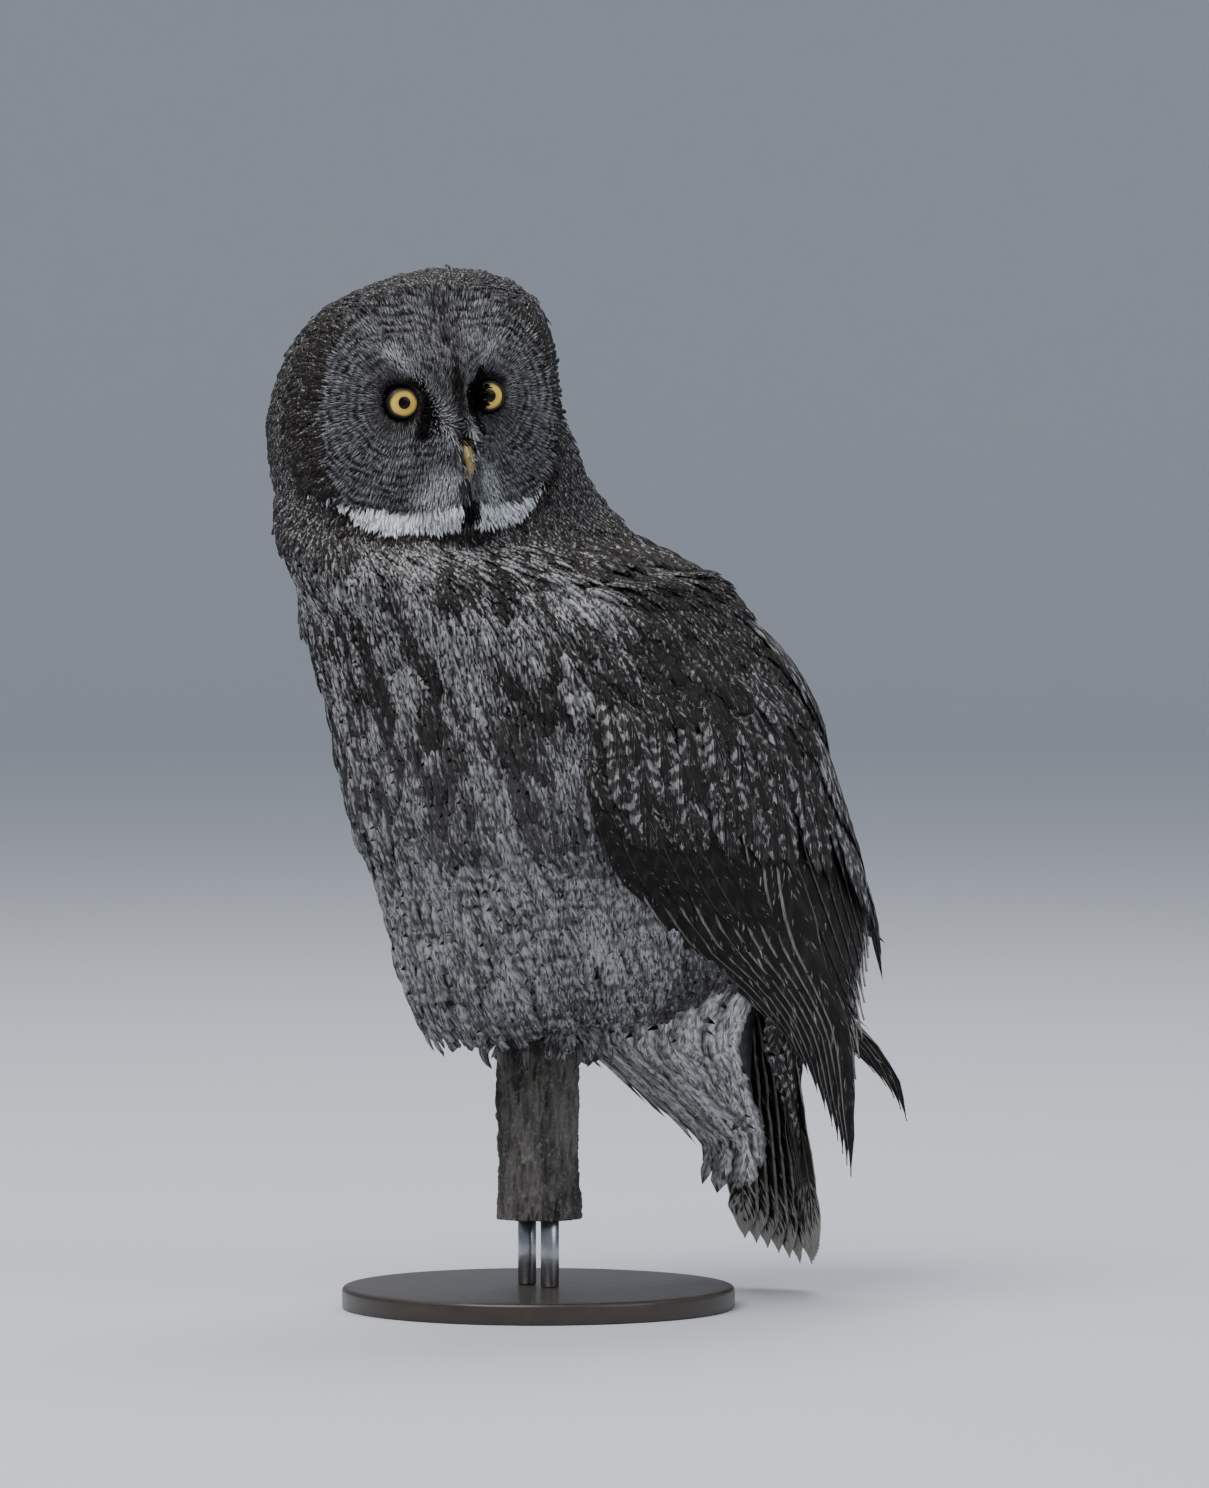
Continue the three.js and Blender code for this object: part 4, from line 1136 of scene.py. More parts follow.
def bill_part(points, radii, dent=0.0):
    """Half of the bill along a curve, closed at both ends, with a dent on each side for a nostril."""
    rings, around = 26, 28
    middle, along = curve_through(points, rings)
    radius = np.interp(np.linspace(0, 1, rings), np.linspace(0, 1, len(radii)), radii)
    radius = radius * np.minimum(1, np.sin(np.pi * np.linspace(0.04, 0.985, rings)) * 2.2) ** 0.7
    angle = np.arange(around) * 2 * np.pi / around
    over = np.stack([0 * along[:, 0], along[:, 2], -along[:, 1]], axis=1)
    ridge = 1 + 0.10 * bell(np.abs(angle - 1.5 * np.pi), 0.35)
    ring = radius[:, None] * ridge
    local = (
        middle[:, None]
        + (ring * 0.82 * np.cos(angle))[..., None] * np.array([1.0, 0, 0])
        - (ring * np.sin(angle))[..., None] * over[:, None]
    ).reshape(-1, 3)
    if dent:
        for side_sign in (-1, 1):
            near = bell(np.linalg.norm(local - (side_sign * NOSTRIL[0], *NOSTRIL[1:]), axis=1), 2.2)
            local = local + dent * near[:, None] * [-side_sign, 0, 0]
    local = np.vstack([local, middle[:1] - along[:1] * 0.5, middle[-1:] + along[-1:] * radius[-1] * 0.6])
    i, k = np.meshgrid(np.arange(rings - 1), np.arange(around), indexing="ij")
    a, b = (i * around + k).ravel(), (i * around + (k + 1) % around).ravel()
    k = np.arange(around)
    after = (k + 1) % around
    first, last, low = len(local) - 2, len(local) - 1, (rings - 1) * around
    return from_head(*local.T), np.vstack([
        np.stack([a, a + around, b + around], axis=1), np.stack([a, b + around, b], axis=1),
        np.stack([0 * k + first, k, after], axis=1), np.stack([low + k, 0 * k + last, low + after], axis=1),
    ])


def horn(name, pale, dark):
    """The finish of horn: cloudy, with a fine upright grain."""
    finish = Finish(name)
    place = finish.place()
    grain = finish.noise(place, scale=260, detail=4.0)
    long_grain = finish.noise(finish.stretched(place, (900, 900, 160)))
    share = (grain * 0.6 + long_grain * 0.5).between(0.3, 0.75)
    colour = finish.mix(share, dark, pale)
    return finish.surface(Base_Color=colour, Roughness=0.35, height=long_grain, bump=0.25, depth=0.0004)


bill_finish = horn("bill horn", (0.34, 0.25, 0.09, 1), (0.12, 0.085, 0.035, 1))
NOSTRIL = (5.4, 72.5, -24.5)
UPPER_BILL = [(0, 56, -19), (0, 69.5, -21), (0, 77, -28), (0, 77.5, -36), (0, 74.5, -42.5)]
LOWER_BILL = [(0, 54, -32), (0, 62, -35), (0, 68, -38), (0, 70.5, -40.5)]
upper = bill_part(UPPER_BILL, [6.2, 4.8, 3.7, 2.5, 0.8], dent=1.4)
lower = bill_part(LOWER_BILL, [4.0, 3.4, 2.5, 1.0])
piece_of("bill_top_half", *upper, bill_finish, "bill", "bill_upper")
piece_of("bill_lower_half", *lower, bill_finish, "bill", "bill_lower")

# The wings.
# Each is folded against the body: long stiff primaries and secondaries below, coverts in tiers over their
# roots, and small soft feathers up to the shoulder. Every vane is bent to the curved face of its wing.


def flight_vane(rows, seed, point=0.5, lead=1.0, notches=3, thick=0.012):
    """A long stiff vane one unit long and wide. point rounds or sharpens its tip, lead narrows its leading
    side, and notches are splits in its edges."""
    chance = np.random.default_rng(seed)
    columns = np.array([-0.5, -0.34, -0.13, 0.0, 0.13, 0.34, 0.5])
    t = 1 - (1 - np.linspace(0, 1, rows)) ** 1.35
    wide = (0.45 + 0.55 * smooth(0, 0.3, t)) * (1 - smooth(1 - point, 1.02, t) ** 1.3)
    points, vane = [], []
    split = np.ones((rows, 2))
    for row in chance.choice(np.arange(3, rows - 1), notches, replace=False):
        split[row, chance.integers(2)] = chance.uniform(0.72, 0.9)
    for layer, chosen in ((1, range(7)), (-1, range(1, 6))):
        for i in range(rows):
            for j in chosen:
                x = columns[j] * wide[i] * (lead if columns[j] < 0 else 1.0)
                x = x * (split[i, 0] if j == 0 else split[i, 1] if j == 6 else 1.0)
                shaft = 2.2 if j == 3 else 1.0
                height = layer * thick * shaft if 0 < j < 6 else 0.0
                points.append((x, t[i] - 0.02 * abs(columns[j]) * (i == rows - 1), height))
                vane.append((0.5 + columns[j], t[i]))
    top = np.arange(rows * 7).reshape(rows, 7)
    low = np.empty((rows, 7), int)
    low[:, 1:6] = rows * 7 + np.arange(rows * 5).reshape(rows, 5)
    low[:, 0], low[:, 6] = top[:, 0], top[:, 6]
    faces = []
    for i in range(rows - 1):
        for j in range(6):
            a, b, c, d = top[i, j], top[i, j + 1], top[i + 1, j + 1], top[i + 1, j]
            faces += [[a, b, c], [a, c, d]]
            a, b, c, d = low[i, j], low[i, j + 1], low[i + 1, j + 1], low[i + 1, j]
            faces += [[a, c, b], [a, d, c]]
    for i, way in ((0, 1), (rows - 1, -1)):
        for j in range(6):
            for corner in ([top[i, j], low[i, j], low[i, j + 1]], [top[i, j], low[i, j + 1], top[i, j + 1]]):
                if len(set(corner)) == 3:
                    faces.append(corner[::way])
    return np.array(points), np.array(faces), np.array(vane)


SHEET_SIZES = ("width", "out", "sunk", "tilt", "loose")


def sheet_coat(name, sheet, shapes, feathers, unwrap, finish, slot):
    """A coat piece of vanes bent over a sheet. Each feather has its root and tip on the sheet, in the
    sheet's own coordinates, with its width, its height off the sheet, the tilt of its leading edge and how
    far its tip stands loose."""
    root, tip = np.array([f["root"] for f in feathers]), np.array([f["tip"] for f in feathers])
    sizes = {key: np.array([f[key] for f in feathers])[:, None] for key in SHEET_SIZES}
    marks = marks_of(*np.array([f["marks"] for f in feathers]).T)
    chance = np.random.default_rng(len(name))
    pick = chance.integers(len(shapes), size=len(feathers))
    middle = (root + tip) / 2
    here = sheet(middle[:, 0], middle[:, 1], 0.0)
    scale = np.stack([
        np.linalg.norm(sheet(middle[:, 0] + 0.5, middle[:, 1], 0.0) - here, axis=1) / 0.5,
        np.linalg.norm(sheet(middle[:, 0], middle[:, 1] + 0.5, 0.0) - here, axis=1) / 0.5,
    ], axis=1)
    way = unit((tip - root) * scale)
    across = np.stack([way[:, 1], -way[:, 0]], axis=1) / scale
    points, faces, vane, owner, count = [], [], [], [], 0
    for kind, (shape, triangles, places) in enumerate(shapes):
        chosen = np.flatnonzero(pick == kind)
        if len(chosen) == 0:
            continue
        x, along, lift = shape.T
        width = sizes["width"][chosen]
        spot = root[chosen, None] + (tip - root)[chosen, None] * along[None, :, None]
        spot = spot + (x * width)[..., None] * across[chosen, None]
        out = sizes["out"][chosen] + lift * width + sizes["tilt"][chosen] * x * width
        out = out - sizes["sunk"][chosen] * (1 - smooth(0, 0.4, along)) + sizes["loose"][chosen] * along**2
        made = sheet(spot[..., 0].ravel(), spot[..., 1].ravel(), out.ravel())
        points.append(made)
        each = len(shape)
        faces.append((triangles[None] + count + each * np.arange(len(chosen))[:, None, None]).reshape(-1, 3))
        vane.append(np.tile(places, (len(chosen), 1)))
        owner.append(np.repeat(chosen, each))
        count += len(made)
    points, faces, vane, owner = np.vstack(points), np.vstack(faces), np.vstack(vane), np.concatenate(owner)
    a, b, c = points[faces[:, 0]], points[faces[:, 1]], points[faces[:, 2]]
    centre = np.stack([np.bincount(owner, points[:, k]) / np.bincount(owner) for k in range(3)], axis=1)
    middle = centre[owner[faces[:, 0]]]
    if np.sum((a - middle) * np.cross(b - middle, c - middle)) < 0:
        faces = faces[:, ::-1]
    mesh = mesh_of(name, points, faces)
    with_map(mesh, "vane", vane)
    baked = np.array([unwrap(*f["root"]) for f in feathers])
    with_map(mesh, "OFBake", baked[owner] + (vane - 0.5) * BAKE_PATCH)
    marked(mesh, "marks", "FLOAT_COLOR", marks[owner])
    marked(mesh, "chance", "FLOAT", chance.random(len(feathers))[owner])
    mesh.materials.append(finish)
    owl_piece(name, mesh, slot)


def flight(name, dark, band, edge, bars, shaft_colour=(0.008, 0.006, 0.005, 1)):
    """The finish of a flight feather: dark, with dim broad bands and thin pale edges."""
    finish = Finish(name)
    across, along = finish.on_vane()
    chance = finish.attribute("chance")
    _, pale, tips = finish.marks()
    aside = (across * 2 - 1).maths("ABSOLUTE")
    sweep = along - aside * 0.10
    barbs = finish.noise(finish.together(across * 2.4, sweep * 150, chance * 91), detail=2.0)
    cloud = finish.noise(finish.together(across * 5, sweep * 46, chance * 31), detail=3.0)
    wave = ((sweep * bars + (cloud - 0.5) * 0.5 + chance) * (2 * math.pi)).maths("SINE") * 0.5 + 0.5
    colour = finish.mix(wave.between(0.55, 0.9) * (0.3 + 0.7 * cloud), dark, band)
    worn = along.between(0.70, 1.0) * 0.24 + along.between(0.90, 1.0) * 0.16
    mottled = (cloud + tips * worn + pale * 0.03).between(0.64, 0.76)
    colour = finish.mix(mottled * 0.9, colour, edge)
    rim = (across + (cloud - 0.5) * 0.05).between(0.12, 0.05) * pale
    rim = rim.maths("MAXIMUM", (across + (cloud - 0.5) * 0.04).between(0.945, 0.975) * pale * 0.7)
    colour = finish.mix(rim * (0.55 + 0.45 * cloud.between(0.35, 0.55)), colour, edge)
    shaft = aside.between(0.06, 0.025)
    colour = finish.mix(shaft * 0.7, colour, shaft_colour)
    # Painted shade and light along the barbs: the colour is darkened in the gaps between them and lightened
    # on them.
    colour = finish.scaled(colour, barbs.between(0.3, 0.7) * 0.6 + 0.62)
    return finish.surface(
        Base_Color=colour, Roughness=0.7, Specular_IOR_Level=0.15, height=barbs, bump=0.35, depth=0.0004,
    )


wing_finish = plumage(
    "wing coverts", (0.024, 0.020, 0.018, 1), (0.072, 0.064, 0.060, 1), (0.36, 0.355, 0.36, 1),
    scale=0.55, slope=0.9, wavy=7.0, fleck=7.0, crisp=0.08, grain=(620, 620, 260),
)
silver_finish = plumage(
    "scapulars", (0.030, 0.026, 0.025, 1), (0.095, 0.088, 0.086, 1), (0.42, 0.415, 0.42, 1),
    scale=0.55, slope=0.9, wavy=8.0, fleck=6.0, crisp=0.09, grain=(620, 620, 260),
)
flight_finish = flight(
    "flight feathers", (0.009, 0.0075, 0.007, 1), (0.024, 0.019, 0.017, 1), (0.40, 0.37, 0.35, 1), bars=7,
)
stiff_vanes = [flight_vane(16, seed, point=0.22, lead=0.8) for seed in range(4)]
covert_form = {"arch": 0.10, "droop": 0.0, "cut": 0.16, "sweep": 0.10, "thick": 0.02}
covert_vanes = [barbed_vane(6, seed, **covert_form) for seed in range(6)]
wing_vanes = vane_shapes("wing vane", clumps=4, count=8, cut=0.24, sweep=0.2, arch=0.2)


def between(pair, share):
    return pair[0] + (pair[1] - pair[0]) * share


def row_of(count, root, tip, width, out, bow, tilt, marks, chance, step=0.0, disorder=0.0, loose=0.0):
    """One row of feathers across a wing. Each lies higher by step than the one before."""
    feathers = []
    for k in range(count):
        share = (k + (chance.uniform(-0.3, 0.3) if disorder else 0)) / max(1, count - 1)
        bent = share + bow * math.sin(math.pi * np.clip(share, 0, 1))
        stray = chance.uniform(-disorder, disorder, 2)
        angle = between((root[0][1], root[1][1]), share)
        tip_angle = between((tip[0][1], tip[1][1]), share) + stray[0]
        tip_height = between((tip[0][0], tip[1][0]), bent) + 2.5 * stray[1]
        feathers.append({
            "root": (between((root[0][0], root[1][0]), share), angle), "tip": (tip_height, tip_angle),
            "width": between(width, share), "out": out + step * k, "sunk": 9 + out, "tilt": tilt,
            "marks": marks(), "loose": loose * chance.uniform(0.5, 1.0),
        })
    return feathers


def on_wing(wing, points):
    """The angle of each place round a folded wing, and how near the wing's outer face it is."""
    y, wide, deep = at(FOLDED, points[:, 2])
    across, back = wing["side"] * points[:, 0] / wide, (points[:, 1] - y) / deep
    return np.degrees(np.arctan2(across, -back)), np.hypot(across, back)


def wing_marks(points, angle):
    """Streak, paleness and bars: dark, with fine pale flecks in clouds, and a white patch at the shoulder."""
    cloud = patches(points, (26, 26, 15), 5)
    speck = patches(points, (7, 7, 7), 8)
    shoulder = bell(points[:, 2] - 470, 12) * bell(angle - 78, 7)
    behind = smooth(126, 150, angle) * smooth(480, 430, points[:, 2])
    pale = 0.42 + 0.9 * (cloud - 0.5) + 0.7 * (speck - 0.5) + 1.2 * shoulder + 0.30 * behind
    streak = 0.55 - 0.35 * np.clip(pale, 0, 1)
    return marks_of(streak, pale, 0.5)


SHOULDER_LOW, SHOULDER_TOP = 338, 490
whole_points, whole_normals = points_of(skin_mesh), normals_of(skin_mesh)


def wing_pieces(name, wing):
    """A wing's quills, bastard wing, coverts and scapulars, and the small feathers over its shoulder."""
    chance = np.random.default_rng(7 if name == "left" else 8)
    plot = 0.33 if name == "left" else 0.0

    def sheet(z, degrees, out):
        return wing_point(wing, z, degrees, out)

    def unwrap(z, degrees):
        return (0.66 + (degrees - 50) / 125 * 0.15, 0.02 + z / 520 * 0.3 + plot)

    def row(*sizes, marks=(0.5, 0.5, 0.9), spread=0.12, **more):
        def drawn():
            return (marks[0], np.clip(marks[1] + chance.uniform(-spread, spread), 0, 1), marks[2])

        return row_of(*sizes, marks=drawn, chance=chance, **more)

    # Each row gives the number of its feathers, the roots and then the tips of the first and the last as
    # heights and angles, their widths, their height off the wing, and the row's bow.
    quills = row(
        10, ((318, 65), (318, 106)), ((176, 66), (77, 94)), (23, 25), -9.8, 0.1, -0.05,
        marks=(0, 0.9, 0.1), step=0.42,
    )
    quills += row(
        12, ((335, 92), (345, 160)), ((128, 103), (246, 156)), (25, 28), -9.0, 0.1, -0.05,
        marks=(0, 0.22, 1.0), step=0.33,
    )
    bastard = row(
        7, ((352, 60), (350, 86)), ((268, 61), (236, 92)), (18, 21), -5.8, 0.0, -0.03,
        marks=(0, 0.15, 0), step=0.2,
    )
    great, silver = [], []
    for *sizes, streak, pale, spread, disorder in (
        (15, ((372, 70), (345, 164)), ((300, 69), (250, 160)), (26, 28), -4.9, -0.10, 0.38, 0.50, 0.12, 0.8),
        (15, ((392, 68), (366, 165)), ((322, 67), (270, 162)), (24, 26), -4.2, -0.08, 0.36, 0.60, 0.30, 1.0),
        (16, ((408, 67), (384, 166)), ((344, 66), (294, 163)), (22, 24), -3.6, -0.06, 0.40, 0.42, 0.35, 1.2),
    ):
        marks = (streak, pale, 0.9)
        great += row(*sizes, -0.03, marks=marks, spread=spread, step=0.05, disorder=disorder)
    for *sizes, streak, pale, share in (
        (12, ((345, 132), (325, 166)), ((262, 132), (206, 160)), (26, 26), -3.4, 0, 0.20, 0.58, 1),
        (12, ((402, 128), (376, 170)), ((312, 134), (246, 163)), (27, 27), -2.6, 0, 0.24, 0.52, 1),
        (11, ((468, 132), (448, 172)), ((382, 136), (322, 167)), (26, 28), -2.0, 0, 0.28, 0.44, 0.6),
    ):
        loose = share * (6.0 if name == "left" else 20.0)
        marks = (streak, pale, 0.9)
        silver += row(*sizes, -0.03, marks=marks, spread=0.25, step=0.1, disorder=2.0, loose=loose)
    for part, shapes, feathers, finish in (
        ("scapulars", covert_vanes, silver, silver_finish),
        ("quills", stiff_vanes, quills, flight_finish),
        ("bastard", stiff_vanes, bastard, flight_finish),
        ("coverts", covert_vanes, great, wing_finish),
    ):
        sheet_coat(f"wing_{name}_{part}", sheet, shapes, feathers, unwrap, finish, "wing_feathers")

    angle, near = on_wing(wing, whole_points)
    height = whole_points[:, 2]
    front, rear = at(WING_EDGES, np.clip(height, BLADE_END, WING_EDGES[0, 0]))
    on_shoulder = (height > SHOULDER_LOW) & (height < SHOULDER_TOP) & (near > 0.86)
    on_shoulder = on_shoulder & (angle > front + 1) & (angle < rear + 4)
    skin = patch(
        skin_mesh, on_shoulder, lie=rooted(whole_normals, np.array([0, 0.50, -0.85]), 0.10),
        size=1.15 - 0.40 * smooth(390, 480, height), marks=wing_marks(whole_points, angle),
        unwrapped=np.stack([*unwrap(height, angle), 0 * angle], axis=1),
    )
    planted(
        f"wing_{name}_cover", skin, wing_vanes, wing_finish, "wing_feathers",
        spacing=4.9, width=14, length=34, disorder=0.15, seed=20 + wing["side"],
    )


for name, wing in WINGS.items():
    wing_pieces(name, wing)

# The tail.
# Twelve broad quills lie closed on each other, the middle pair on top, dark with pale edges and worn tips.
# The tail is roofed: its outer quills slope down at the sides.
TAIL_ROOT, TAIL_TIP = np.array([146.0, 335.0]), np.array([209.0, 30.0])


def tail_point(along, side, behind):
    """A place on the tail: its share from root to tip, and millimetres to the side and behind the middle."""
    way = unit(TAIL_TIP - TAIL_ROOT)
    long = np.linalg.norm(TAIL_TIP - TAIL_ROOT)
    back = behind + 7 * np.sin(np.pi * np.clip(along, 0, 1)) - 0.0035 * side * side
    y = TAIL_ROOT[0] + way[0] * long * along - way[1] * back
    return np.stack([side + 0 * along, y, TAIL_ROOT[1] + way[1] * long * along + way[0] * back], axis=-1)


def tail_quills():
    """Six quills to each side, each further out and lower than the one before."""
    quills = []
    for k in range(6):
        for side in (1, -1):
            behind = 4.5 - 2.2 * k - (1.1 if side < 0 else 0)
            start, end = side * (4 + 3.8 * k), side * (6 + 7.0 * k)
            quills.append({
                "root": (0.35, start), "tip": (1.045 - 0.012 * k, end), "width": 27, "out": behind, "sunk": 0,
                "tilt": 0.0, "marks": (0, 1.0, 1.0), "loose": 0,
            })
    return quills


tail_finish = flight(
    "tail feathers", (0.012, 0.010, 0.009, 1), (0.048, 0.039, 0.034, 1), (0.52, 0.48, 0.43, 1), bars=9,
    shaft_colour=(0.30, 0.27, 0.24, 1),
)


def tail_unwrap(along, side):
    """Where a quill rooted at a place on the tail has its square on the OFBake map."""
    return (0.68 + side / 600, 0.70 + along * 0.2)


tail_vanes = [flight_vane(22, seed, point=0.13, notches=9) for seed in range(6)]
sheet_coat("tail_quills", tail_point, tail_vanes, tail_quills(), tail_unwrap, tail_finish, "tail_feathers")

# The coverts over and under the tail.
# Long soft feathers, pale buff grey with fine wavy bars, hang in tiers from the vent. Darker ones lie over
# the quills from the rump.


def oval_sheet(stations):
    """Places on level ovals: a height, an angle from the front round to the left, and a depth outwards."""

    def sheet(z, degrees, out):
        z, degrees, out = np.broadcast_arrays(z, degrees, out)
        front, rear, wide = at(stations, z)
        angle = np.radians(degrees)
        y = (front + rear) / 2 - ((rear - front) / 2 + out) * np.cos(angle)
        return np.stack([(wide + out) * np.sin(angle), y, z + 0.0], axis=-1)

    return sheet


def rump_unwrap(z, degrees):
    return (0.84 + degrees / 180 * 0.13, 0.36 + (z - 40) / 260 * 0.28)


def hung(seed, rows, tiers, spread, counts, middle, long, width, out, paleness, streak, loose=0.0):
    """Tiers of coverts. tiers gives the first root height and the step down from it, spread the half angle
    of a tier by its height, and counts the number of its feathers."""
    chance = np.random.default_rng(seed)
    feathers = []
    for k in range(rows):
        low = tiers[0] - tiers[1] * k
        half = np.interp(low, *spread)
        count = int(np.interp(low, *counts))
        for i in range(count):
            degrees = half * (2 * (i + chance.uniform(-0.35, 0.35)) / (count - 1) - 1)
            height = low + chance.uniform(-7, 7)
            tip_angle = middle + degrees * chance.uniform(0.82, 0.96)
            free = loose * max(0, chance.uniform(-0.6, 1))
            feathers.append({
                "root": (height, middle + degrees),
                "tip": (height - chance.uniform(*long) - 0.6 * free, tip_angle), "loose": free,
                "width": chance.uniform(*width), "out": out + 0.25 * k + chance.uniform(-0.4, 0.4), "sunk": 6,
                "tilt": chance.uniform(-0.08, 0.08), "marks": (streak, chance.uniform(*paleness), 1.0),
            })
    return feathers


vent_finish = plumage(
    "tail coverts", (0.14, 0.134, 0.130, 1), (0.33, 0.323, 0.318, 1), (0.60, 0.595, 0.59, 1),
    scale=0.8, slope=0.7, wavy=8.0, fleck=2.4, crisp=0.14, grain=(600, 600, 230),
)
long_vanes = [barbed_vane(6, seed, arch=0.12, droop=0.0, cut=0.30, sweep=0.18) for seed in range(20, 28)]
under = hung(
    seed=12, rows=13, tiers=(264, 11), spread=([100, 130, 170, 264], [70, 88, 104, 112]),
    counts=([110, 170, 264], [10, 18, 26]), middle=0, long=(46, 58), width=(13, 18), out=-1.5,
    paleness=(0.60, 1.0), streak=0.04, loose=15,
)
over = hung(
    seed=13, rows=9, tiers=(268, 17), spread=([100, 262], [52, 92]), counts=([130, 268], [9, 17]),
    middle=180, long=(46, 56), width=(17, 21), out=-2.0, paleness=(0.25, 0.6), streak=0.4,
)
sheet_coat("undertail", oval_sheet(VENT), long_vanes, under, rump_unwrap, vent_finish, "tail_feathers")
sheet_coat("uppertail", oval_sheet(RUMP), long_vanes, over, rump_unwrap, wing_finish, "tail_feathers")

# The legs and feet.
# Both are flesh, covered by the skin and feathered down to the claws. The tufts are short, soft and pale,
# and lie outwards along the toes.
feet_points = points_of(feet)
across, forward, height = feet_points.T
foot_finish = plumage(
    "foot feathers", (0.10, 0.09, 0.085, 1), (0.20, 0.19, 0.18, 1), (0.50, 0.48, 0.46, 1), scale=0.8,
)
outwards = unit(np.stack([across, forward, 0 * across - 18], axis=1))
feet_places = [0.68 + 0.26 * (across + 45) / 90, 0.92 + 0.06 * (height - 170) / 60, 0 * across]
feet_skin = patch(
    feet, height > 0, lie=rooted(normals_of(feet), outwards, 0.25), size=np.ones(len(across)),
    marks=marks_of(0.05 + 0 * across, 0.75, 0.3), unwrapped=np.stack(feet_places, axis=1),
)
planted(
    "coat_feet", feet_skin, small_vanes, foot_finish, "foot_feathers",
    spacing=3.0, width=4.2, length=10, disorder=0.3, seed=4,
)

# The claws.
# Eight black horny hooks, smooth and slightly glossy, each with its root inside the feathers of its toe.
# They hook over the edge of the perch.
TOE_RADIUS, CLAW_TOP, CLAW_DROP, PERCH_RADIUS = 7.2, 176, 20, 27
# Shares of CLAW_DROP down from CLAW_TOP, how far each place stands off the toe's end, and the radius there.
CLAW = np.array([
    (-0.16, -1.5, 2.9), (-0.05, 0.2, 3.1), (0.15, 2.4, 3.0), (0.35, 3.5, 2.7), (0.55, 3.4, 2.2),
    (0.75, 2.1, 1.6), (0.9, 0.2, 1.0), (1, -1.6, 0.35),
])


def claw(to):
    """A claw's middle line and radii, at the end of the toe that points to the place given."""
    down, away, radii = CLAW.T
    way = unit(np.array(to, float))
    end = way * (PERCH_RADIUS + TOE_RADIUS * 0.9)
    return np.column_stack([end + way * away[:, None], CLAW_TOP - CLAW_DROP * down]), radii


def horn_of(centre, radii, around=16, rings=26):
    """A smooth closed horn along a line of stations."""
    share = np.linspace(0, 1, len(centre))

    def on_line(t):
        return np.stack([np.interp(t, share, centre[:, k]) for k in range(3)], axis=-1)

    def place(t, angle):
        along = unit(on_line(t + 0.04) - on_line(t - 0.04))
        aside = unit(np.cross(along, (0.63, 0.41, 0.2)))
        other = np.cross(along, aside)
        radius = np.interp(t, share, radii) * np.minimum(1, np.sqrt(np.maximum(0, np.sin(np.pi * t))) * 1.6)
        ring = np.cos(angle)[:, None] * aside + np.sin(angle)[:, None] * other
        return on_line(t) + radius[:, None] * ring

    return globe(around, rings, place)


black_horn = Finish("claw")
claw_grain = black_horn.noise(black_horn.place(), 900, 2.0)
claw_finish = black_horn.surface(
    Base_Color=black_horn.mix(claw_grain, (0.010, 0.009, 0.009, 1), (0.03, 0.027, 0.025, 1)), Roughness=0.32,
    Coat_Weight=0.3,
)
for name, side_sign in (("left", 1), ("right", -1)):
    for k, (sideways, back) in enumerate(((6.8, -27), (20.5, -22), (29, 6), (12, 27)), 1):
        form = horn_of(*claw((sideways * side_sign, back)))
        piece_of(f"claw_{name}_hook_{k}", *form, claw_finish, "claw", f"claw_{name}_{k}")

# The perch.
# A short cut length of dead trunk: furrowed grey bark in plates with flecks of lichen and moss, cut flat
# below and broken off roughly above.
PERCH_TOP, PERCH_BOTTOM = 178, 58


def snag():
    """The trunk's bark, furrowed by bent sine waves and by noise in plates, cracks and fine grain."""
    around, rings = 220, 190

    def place(share, angle):
        capped = np.clip((share - 0.10) / 0.80, 0, 1)
        z = PERCH_TOP - 1.5 - (PERCH_TOP - PERCH_BOTTOM - 1.5) * capped
        close = np.minimum(1, np.minimum(share, 1 - share) / 0.10)
        furrow = 0.9 * np.sin(5 * angle + 0.03 * z) + 0.7 * np.sin(9 * angle - 0.05 * z)
        furrow = furrow + 0.8 * np.sin(2 * angle + 0.06 * z)
        ridge = []
        for a, height in zip(angle, z):
            spot = Vector((9 * math.sin(a), 9 * math.cos(a), height * 0.055))
            twist = noise.noise(spot * 0.5) * 1.4
            plate = 1 - abs(noise.noise(spot + Vector((twist, twist, 0))))
            crack = noise.noise(Vector((3 * math.sin(a), 3 * math.cos(a), height * 0.11)))
            fine = noise.noise(Vector((26 * math.sin(a), 26 * math.cos(a), height * 0.35)))
            ridge.append(2.0 * (plate - 0.82) / 0.18 * 0.5 + 1.2 * min(0, crack) + 0.5 * fine)
        radius = PERCH_RADIUS - 1.8 + 1.6 * capped + 0.8 * furrow + np.clip(ridge, -2.2, 1.1)
        end = np.where(share < 0.5, 1.0, 0.0) * (1 - close)
        rough = np.array([
            noise.noise(Vector((0.16 * r * math.sin(a), 0.16 * r * math.cos(a), 3.0)))
            for a, r in zip(angle, radius * close)
        ])
        z = z + end * 3.0 * rough
        return np.stack([radius * close * np.sin(angle), -radius * close * np.cos(angle), z], axis=-1)

    return globe(around, rings, place)


